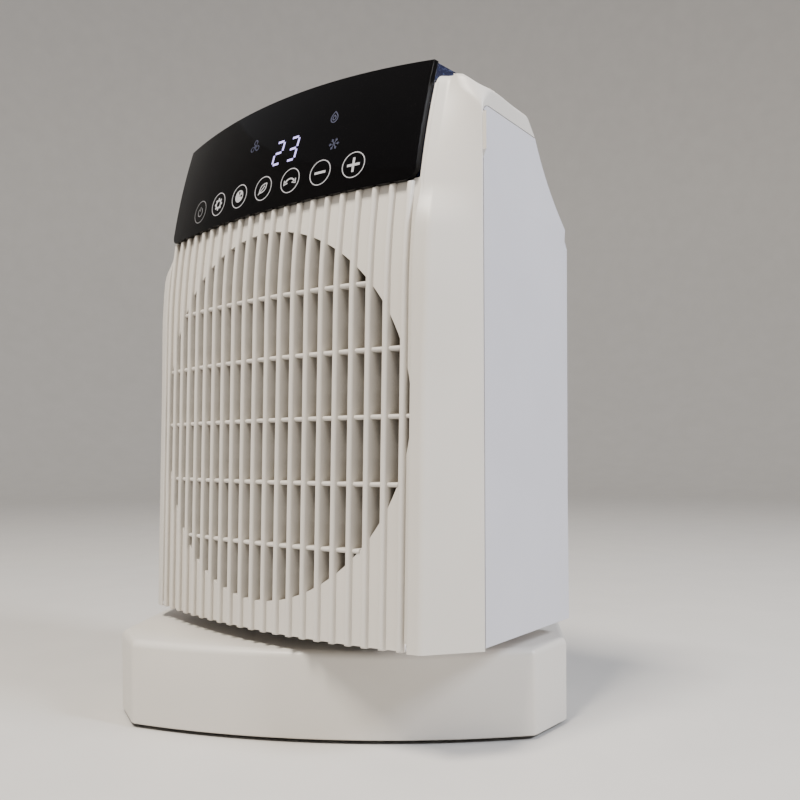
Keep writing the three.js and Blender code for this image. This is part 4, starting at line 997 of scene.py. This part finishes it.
class Print:
    """Thin raised shapes on the panel, gathered into one piece."""

    def __init__(self):
        self.points = []
        self.faces = []

    def stroke(self, path, width, closed=False):
        """A line of even width along (x, z) points."""
        count = len(path)
        sections = []
        for i, (x, z) in enumerate(path):
            before = path[i - 1] if closed or i else path[i]
            after = path[(i + 1) % count] if closed or i + 1 < count else path[i]
            along = Vector((after[0] - before[0], after[1] - before[1])).normalized()
            side = Vector((-along.y, along.x)) * (width / 2)
            ring = []
            for px, pz in ((x + side.x, z + side.y), (x - side.x, z - side.y)):
                ring.append((px, panel_y(px, pz) - PRINT_PROUD, pz))
            for px, pz in ((x - side.x, z - side.y), (x + side.x, z + side.y)):
                ring.append((px, panel_y(px, pz) + PRINT_SUNK, pz))
            sections.append(ring)
        if not closed:
            add_bar(self.points, self.faces, sections)
            return
        first = len(self.points)
        for section in sections:
            self.points += section
        for i in range(count):
            here, there = first + 4 * i, first + 4 * ((i + 1) % count)
            for c in range(4):
                d = (c + 1) % 4
                self.faces.append((here + c, here + d, there + d, there + c))

    def arc(self, x, z, radius, start, end, width):
        """An arc between two angles in degrees, anticlockwise from the right."""
        whole = abs(end - start) >= 360
        steps = max(6, int(abs(end - start) / 8))
        count = steps if whole else steps + 1
        turns = [math.radians(mix(start, end, i / steps)) for i in range(count)]
        path = [(x + radius * math.cos(a), z + radius * math.sin(a)) for a in turns]
        self.stroke(path, width, whole)

    def line(self, x, z, path, width):
        """A line along points given from a middle (x, z)."""
        self.stroke([(x + dx, z + dz) for dx, dz in path], width)

    def finish(self, name, material):
        piece = mesh_object(name, HEAD_PLACE, self.points, self.faces)
        piece.data.set_sharp_from_angle(angle=SHARP_ANGLE)
        finished(piece, material, "head", "panel_black")


def draw_power(sheet, x, z):
    sheet.arc(x, z - 0.2, 2.4, 125, 415, 0.5)
    sheet.line(x, z, [(0, 0.4), (0, 3)], 0.5)


def draw_gear(sheet, x, z):
    sheet.arc(x, z, 2.15, 0, 360, 1.0)
    for i in range(8):
        c, s = math.cos(math.pi / 4 * i), math.sin(math.pi / 4 * i)
        sheet.line(x, z, [(2.3 * c, 2.3 * s), (3.5 * c, 3.5 * s)], 1.1)


def draw_clock(sheet, x, z):
    """A filled dial, left open along its two wedge-shaped hands."""
    sheet.arc(x, z, 3.0, 0, 360, 0.7)
    sheet.arc(x, z, 1.5, 19, 71, 2.4)
    sheet.arc(x, z, 1.5, 109, 341, 2.4)


def draw_leaf(sheet, x, z):
    """A leaf between two arcs, with its stalk."""
    for side in (-1, 1):
        path = []
        for i in range(13):
            t = i / 12
            bow = side * 1.9 * math.sin(math.pi * t)
            path.append((-2.6 + 5.2 * t - 0.7 * bow, -2.2 + 4.6 * t + 0.7 * bow))
        sheet.line(x, z, path, 0.6)
    sheet.line(x, z, [(-3.4, -3.0), (-0.2, -0.1), (1.2, 1.2)], 0.55)


def draw_swing(sheet, x, z):
    """An arc with an arrowhead at either end."""
    sheet.arc(x, z - 2.6, 3.6, 30, 150, 0.8)
    for side in (-1, 1):
        tip = (side * 4.0, -1.9)
        sheet.line(x, z, [(tip[0] - side * 0.2, 0.6), tip, (tip[0] - side * 2.4, -1.1)], 0.7)


def draw_minus(sheet, x, z):
    sheet.line(x, z, [(-3.4, 0), (3.4, 0)], 1.2)


def draw_plus(sheet, x, z):
    sheet.line(x, z, [(-3.6, 0), (3.6, 0)], 1.25)
    sheet.line(x, z, [(0, -3.6), (0, 3.6)], 1.25)


def draw_button(sheet, place, draw):
    x = BUTTON_PITCH * (place - MIDDLE_BUTTON)
    sheet.arc(x, BUTTON_Z, BUTTON_RADIUS, 0, 360, BUTTON_LINE)
    draw(sheet, x, BUTTON_Z)


def power_button():
    sheet = Print()
    draw_button(sheet, 0, draw_power)
    sheet.finish("power_button_print", FAINT_PRINT)


def touch_buttons():
    sheet = Print()
    symbols = [draw_gear, draw_clock, draw_leaf, draw_swing, draw_minus, draw_plus]
    for i, draw in enumerate(symbols):
        draw_button(sheet, i + 1, draw)
    sheet.finish("touch_button_prints", ICON_PRINT)


DIGIT_WIDTH = 5.6
DIGIT_HEIGHT = 12
DIGIT_SLANT = 0.1
DIGIT_Z = 291
DIGIT_PLACES = {2: 4, 3: 14.6}
SEGMENT_WIDTH = 1.15
SEGMENT_GAP = 0.75
SEGMENTS = {
    "top": ((0, 1), (1, 1)),
    "upper_right": ((1, 0.5), (1, 1)),
    "upper_left": ((0, 0.5), (0, 1)),
    "middle": ((0, 0.5), (1, 0.5)),
    "lower_left": ((0, 0), (0, 0.5)),
    "lower_right": ((1, 0), (1, 0.5)),
    "bottom": ((0, 0), (1, 0)),
}
DIGITS = {
    2: ("top", "upper_right", "middle", "lower_left", "bottom"),
    3: ("top", "upper_right", "middle", "lower_right", "bottom"),
}


def draw_digit(sheet, digit, x, z):
    for name in DIGITS[digit]:
        ends = []
        for u, v in SEGMENTS[name]:
            rise = DIGIT_HEIGHT * v
            ends.append(Vector((x + DIGIT_WIDTH * u + DIGIT_SLANT * rise, z + rise)))
        back = (ends[1] - ends[0]).normalized() * SEGMENT_GAP
        sheet.stroke([tuple(ends[0] + back), tuple(ends[1] - back)], SEGMENT_WIDTH)


def temperature_digits():
    sheet = Print()
    for digit, x in DIGIT_PLACES.items():
        draw_digit(sheet, digit, x, DIGIT_Z)
    sheet.finish("temperature_digits", DIGIT_GLOW)


def draw_fan(sheet, x, z):
    """A hub with three open blades."""
    sheet.arc(x, z, 0.7, 0, 360, 0.6)
    for turn in (90, 210, 330):
        c, s = math.cos(math.radians(turn)), math.sin(math.radians(turn))
        sheet.arc(x + 2.3 * c, z + 2.3 * s, 1.3, turn - 150, turn + 150, 0.5)


def draw_flame(sheet, x, z):
    """Two drops, one inside the other, pointed at the top."""
    steps = 24
    for size in (1.0, 0.45):
        path = []
        for i in range(steps):
            angle = math.radians(-90 + 360 * i / steps)
            c, s = math.cos(angle), math.sin(angle)
            stretch = 1.5 if s > 0 else 1.0
            narrow = 1 - 0.75 * max(0, s) ** 2
            path.append((x + 2.1 * size * c * narrow, z - 0.6 + 2.3 * size * s * stretch))
        sheet.stroke(path, 0.5, closed=True)


def draw_snowflake(sheet, x, z):
    """Six arms with two twigs each."""
    for i in range(6):
        turn = math.radians(60 * i)
        c, s = math.cos(turn), math.sin(turn)
        sheet.line(x, z, [(0, 0), (3.1 * c, 3.1 * s)], 0.45)
        for side in (-1, 1):
            bend = turn + side * math.radians(35)
            root = (1.7 * c, 1.7 * s)
            tip = (root[0] + 1.1 * math.cos(bend), root[1] + 1.1 * math.sin(bend))
            sheet.line(x, z, [root, tip], 0.4)


def mode_icons():
    sheet = Print()
    draw_fan(sheet, -14, 306)
    draw_flame(sheet, 43, 308)
    draw_snowflake(sheet, 46, 293)
    sheet.finish("mode_icon_prints", DIM_PRINT)


power_button()
touch_buttons()
temperature_digits()
mode_icons()

# ---- Base ------------------------------------------------

BASE_FRONT_CORNER = (104.2, -54.1)
BASE_BULGE = 15.7
BASE_SIDE = (121.5, -27.2)
BASE_REAR_SIDE = (121.5, 42)
BASE_REAR_CORNER = (109, 58)
BASE_ROUNDINGS = (5, 3, 4, 5)
BASE_ROUNDING_STEPS = 6
BASE_FRONT_STEPS = 40
BASE_CORNER_RUN = 5
BASE_RIM_RADIUS = 4
BASE_RIM_STEPS = 8
BASE_FOOT_CHAMFER = 0.6
BASE_WALL_HEIGHT = 20
BASE_THICKNESS = 2.4


def base_ring(z, inset):
    """The base's outline at a height, drawn in by an inset: a bulging front and straight sides."""
    corner_x, corner_y = BASE_FRONT_CORNER
    radius = corner_x ** 2 / (2 * BASE_BULGE) + BASE_BULGE / 2
    slope = corner_x / math.sqrt(radius ** 2 - corner_x ** 2)
    near = (corner_x - BASE_CORNER_RUN, corner_y - BASE_CORNER_RUN * slope)
    chain = [near, BASE_FRONT_CORNER, BASE_SIDE, BASE_REAR_SIDE, BASE_REAR_CORNER]
    chain.append((0, BASE_REAR_CORNER[1]))
    lines = [line_through(chain[i], chain[i + 1], inset) for i in range(len(chain) - 1)]
    corners = [crossing(lines[i], lines[i + 1]) for i in range(len(lines) - 1)]
    stops = [(near[0], lines[0][1]), *corners, (0, lines[-1][1])]
    side = []
    for i, rounding in enumerate(BASE_ROUNDINGS):
        side += rounded_corner(*stops[i:i + 3], rounding, BASE_ROUNDING_STEPS)
    front = []
    first = side[0][0]
    for i in range(1, BASE_FRONT_STEPS):
        x = first * (2 * i / BASE_FRONT_STEPS - 1)
        front.append((x, corner_y - math.sqrt(radius ** 2 - x * x) + radius - BASE_BULGE + inset))
    mirrored = [(-x, y) for x, y in reversed(side)]
    return [(x, y, z) for x, y in front + side + mirrored]


def base_cover():
    """The base's upright wall, its rounded rim and the deck round the swivel's hub."""
    levels = [
        (BASE_BOTTOM, BASE_FOOT_CHAMFER),
        (BASE_BOTTOM + BASE_FOOT_CHAMFER, 0),
        (BASE_BOTTOM + BASE_WALL_HEIGHT, 0),
    ]
    rim_start = BASE_DECK - BASE_RIM_RADIUS
    for i in range(BASE_RIM_STEPS + 1):
        angle = math.pi / 2 * i / BASE_RIM_STEPS
        inset = BASE_RIM_RADIUS * (1 - math.cos(angle))
        levels.append((rim_start + BASE_RIM_RADIUS * math.sin(angle), inset))
    rows = [base_ring(z, inset) for z, inset in levels]
    rows += rows_to_hub(rows[-1], (0.3, 0.6, 1))
    piece = mesh_object("base_cover_casing", BASE_PLACE, *skin(rows, wrap=True), closed=False)
    thicken(piece, BASE_THICKNESS)
    soften(piece, 0.5, 2)
    finished(piece, WHITE, "base", "white_plastic", "base_cover")


base_cover()

# ---- Air filter gauze ------------------------------------

GAUZE_HALF_WIDTH = 82
GAUZE_PITCH = 2
GAUZE_WIRE = 0.35
GAUZE_MARGIN = 1.5
GAUZE_Y = 53.6


def filter_gauze():
    """Fine crossed threads stretched over the filter's frame."""
    points, faces = [], []
    half = GAUZE_WIRE / 2
    square = [(-half, -half), (half, -half), (half, half), (-half, half)]
    bottom, top = FILTER_BOTTOM + GAUZE_MARGIN, FILTER_TOP - GAUZE_MARGIN
    left, right = -GAUZE_HALF_WIDTH, GAUZE_HALF_WIDTH
    for i in range(int((right - left) / GAUZE_PITCH) + 1):
        x = left + GAUZE_PITCH * i
        add_bar(points, faces, [[(x + a, GAUZE_Y + b, z) for a, b in square] for z in (bottom, top)])
    behind = GAUZE_Y + GAUZE_WIRE
    for i in range(int((top - bottom) / GAUZE_PITCH) + 1):
        z = bottom + GAUZE_PITCH * i
        add_bar(points, faces, [[(x, behind + a, z + b) for a, b in square] for x in (left, right)])
    piece = mesh_object("filter_gauze", HEAD_PLACE, points, faces)
    piece.data.shade_flat()
    finished(piece, FINISHES["filter_mesh"], "head", "filter_mesh")


filter_gauze()

# ---- Nodes carried over from the CAD ---------------------

EDGE_WIDTHS = {
    "rear_grille": 0.9, "dust_filter": 0.4, "swivel_turntable": 0.4, "swivel_bearing_ring": 0.4,
    "power_rocker": 0.6, "power_switch_body": 0.6, "cord_gland": 0.5, "fan_impeller": 0.4,
    "oscillation_motor": 0.6, "fan_motor": 0.6, "base_plate": 0.4, "drive_gear": 0.2,
}
USUAL_EDGE_WIDTH = 0.25
CAD_SHARP_ANGLE = 35


def finish_cad_nodes():
    """Gives every CAD node that stays visible its material and softly rounded edges."""
    for entry in frame["record"]["subparts"]:
        name, slot = entry["node"], entry["material_slot"]
        node = frame["nodes"][name]
        if node.hide_render:
            continue
        node.data.materials.clear()
        node.data.materials.append(FINISHES[slot])
        node.data.set_sharp_from_angle(angle=math.radians(CAD_SHARP_ANGLE))
        soften(node, EDGE_WIDTHS.get(name, USUAL_EDGE_WIDTH), 2, CAD_SHARP_ANGLE)


finish_cad_nodes()

# ---- Scene -----------------------------------------------

LIGHT_TARGET = (0, 0, 0.15)


def area_light(name, place, size, power, color):
    """A square lamp that shines on the object."""
    light = bpy.data.lights.new(name, "AREA")
    light.shape = "RECTANGLE"
    light.size = size
    light.size_y = size
    light.energy = power
    light.color = color
    lamp = bpy.data.objects.new(name, light)
    bpy.context.scene.collection.objects.link(lamp)
    lamp.location = place
    aim = Vector(LIGHT_TARGET) - Vector(place)
    lamp.rotation_euler = aim.to_track_quat("-Z", "Y").to_euler()


LENS = 38.12
SENSOR_WIDTH = 36
LENS_RISE = 0.0705
CAMERA_OFFSET = Vector((0.0824, -0.4776, 0.1436))
CAMERA_HEADING = 6.103
CAMERA_TILT = 89.624
CAMERA_ROLL = -0.291


def camera():
    """A nearly level camera at the object's middle height; its raised lens keeps uprights upright."""
    data = bpy.data.cameras.new("camera")
    data.lens = LENS
    data.sensor_width = SENSOR_WIDTH
    data.shift_y = LENS_RISE
    eye = bpy.data.objects.new("camera", data)
    bpy.context.scene.collection.objects.link(eye)
    place = Matrix.Translation(Vector((SWIVEL.x, SWIVEL.y, 0)) + CAMERA_OFFSET)
    heading = Matrix.Rotation(math.radians(CAMERA_HEADING), 4, "Z")
    tilt = Matrix.Rotation(math.radians(CAMERA_TILT), 4, "X")
    eye.matrix_world = place @ heading @ tilt @ Matrix.Rotation(math.radians(CAMERA_ROLL), 4, "Z")
    bpy.context.scene.camera = eye


FLOOR_RADIUS = 2.2
WALL_CURVE = 1.2
WALL_TOP_Z = 2.8
FLOOR_SIDES = 96
FLAT_RINGS = 6
CURVE_RINGS = 12


def floor():
    """A round floor that curves up into a wall, so that no edge shows behind the object."""
    profile = [(FLOOR_RADIUS * i / FLAT_RINGS, 0) for i in range(FLAT_RINGS + 1)]
    for i in range(1, CURVE_RINGS + 1):
        angle = math.pi / 2 * i / CURVE_RINGS
        rise = WALL_CURVE * (1 - math.cos(angle))
        profile.append((FLOOR_RADIUS + WALL_CURVE * math.sin(angle), rise))
    profile.append((FLOOR_RADIUS + WALL_CURVE, WALL_TOP_Z))
    turns = [2 * math.pi * i / FLOOR_SIDES for i in range(FLOOR_SIDES)]
    rows = [[(-reach * math.sin(a), reach * math.cos(a), z) for a in turns] for reach, z in profile]
    ground = mesh_object("floor", Matrix.Identity(4), *skin(rows, wrap=True), closed=False)
    ground.data.materials.append(moulded("pale_floor", (0.62, 0.60, 0.57), 0.55, 0.1, 0.02))


def studio_world():
    """Even, pale light from all round."""
    world = bpy.data.worlds.new("studio")
    bpy.context.scene.world = world
    world.use_nodes = True
    world.node_tree.nodes["Background"].inputs["Color"].default_value = (0.66, 0.66, 0.68, 1)
    world.node_tree.nodes["Background"].inputs["Strength"].default_value = 0.66


camera()
floor()
area_light("ceiling", (-0.4, -0.8, 1.75), 0.45, 54, (1, 0.93, 0.83))
area_light("window", (1.35, -0.55, 1.15), 0.4, 30, (0.84, 0.89, 1))
studio_world()
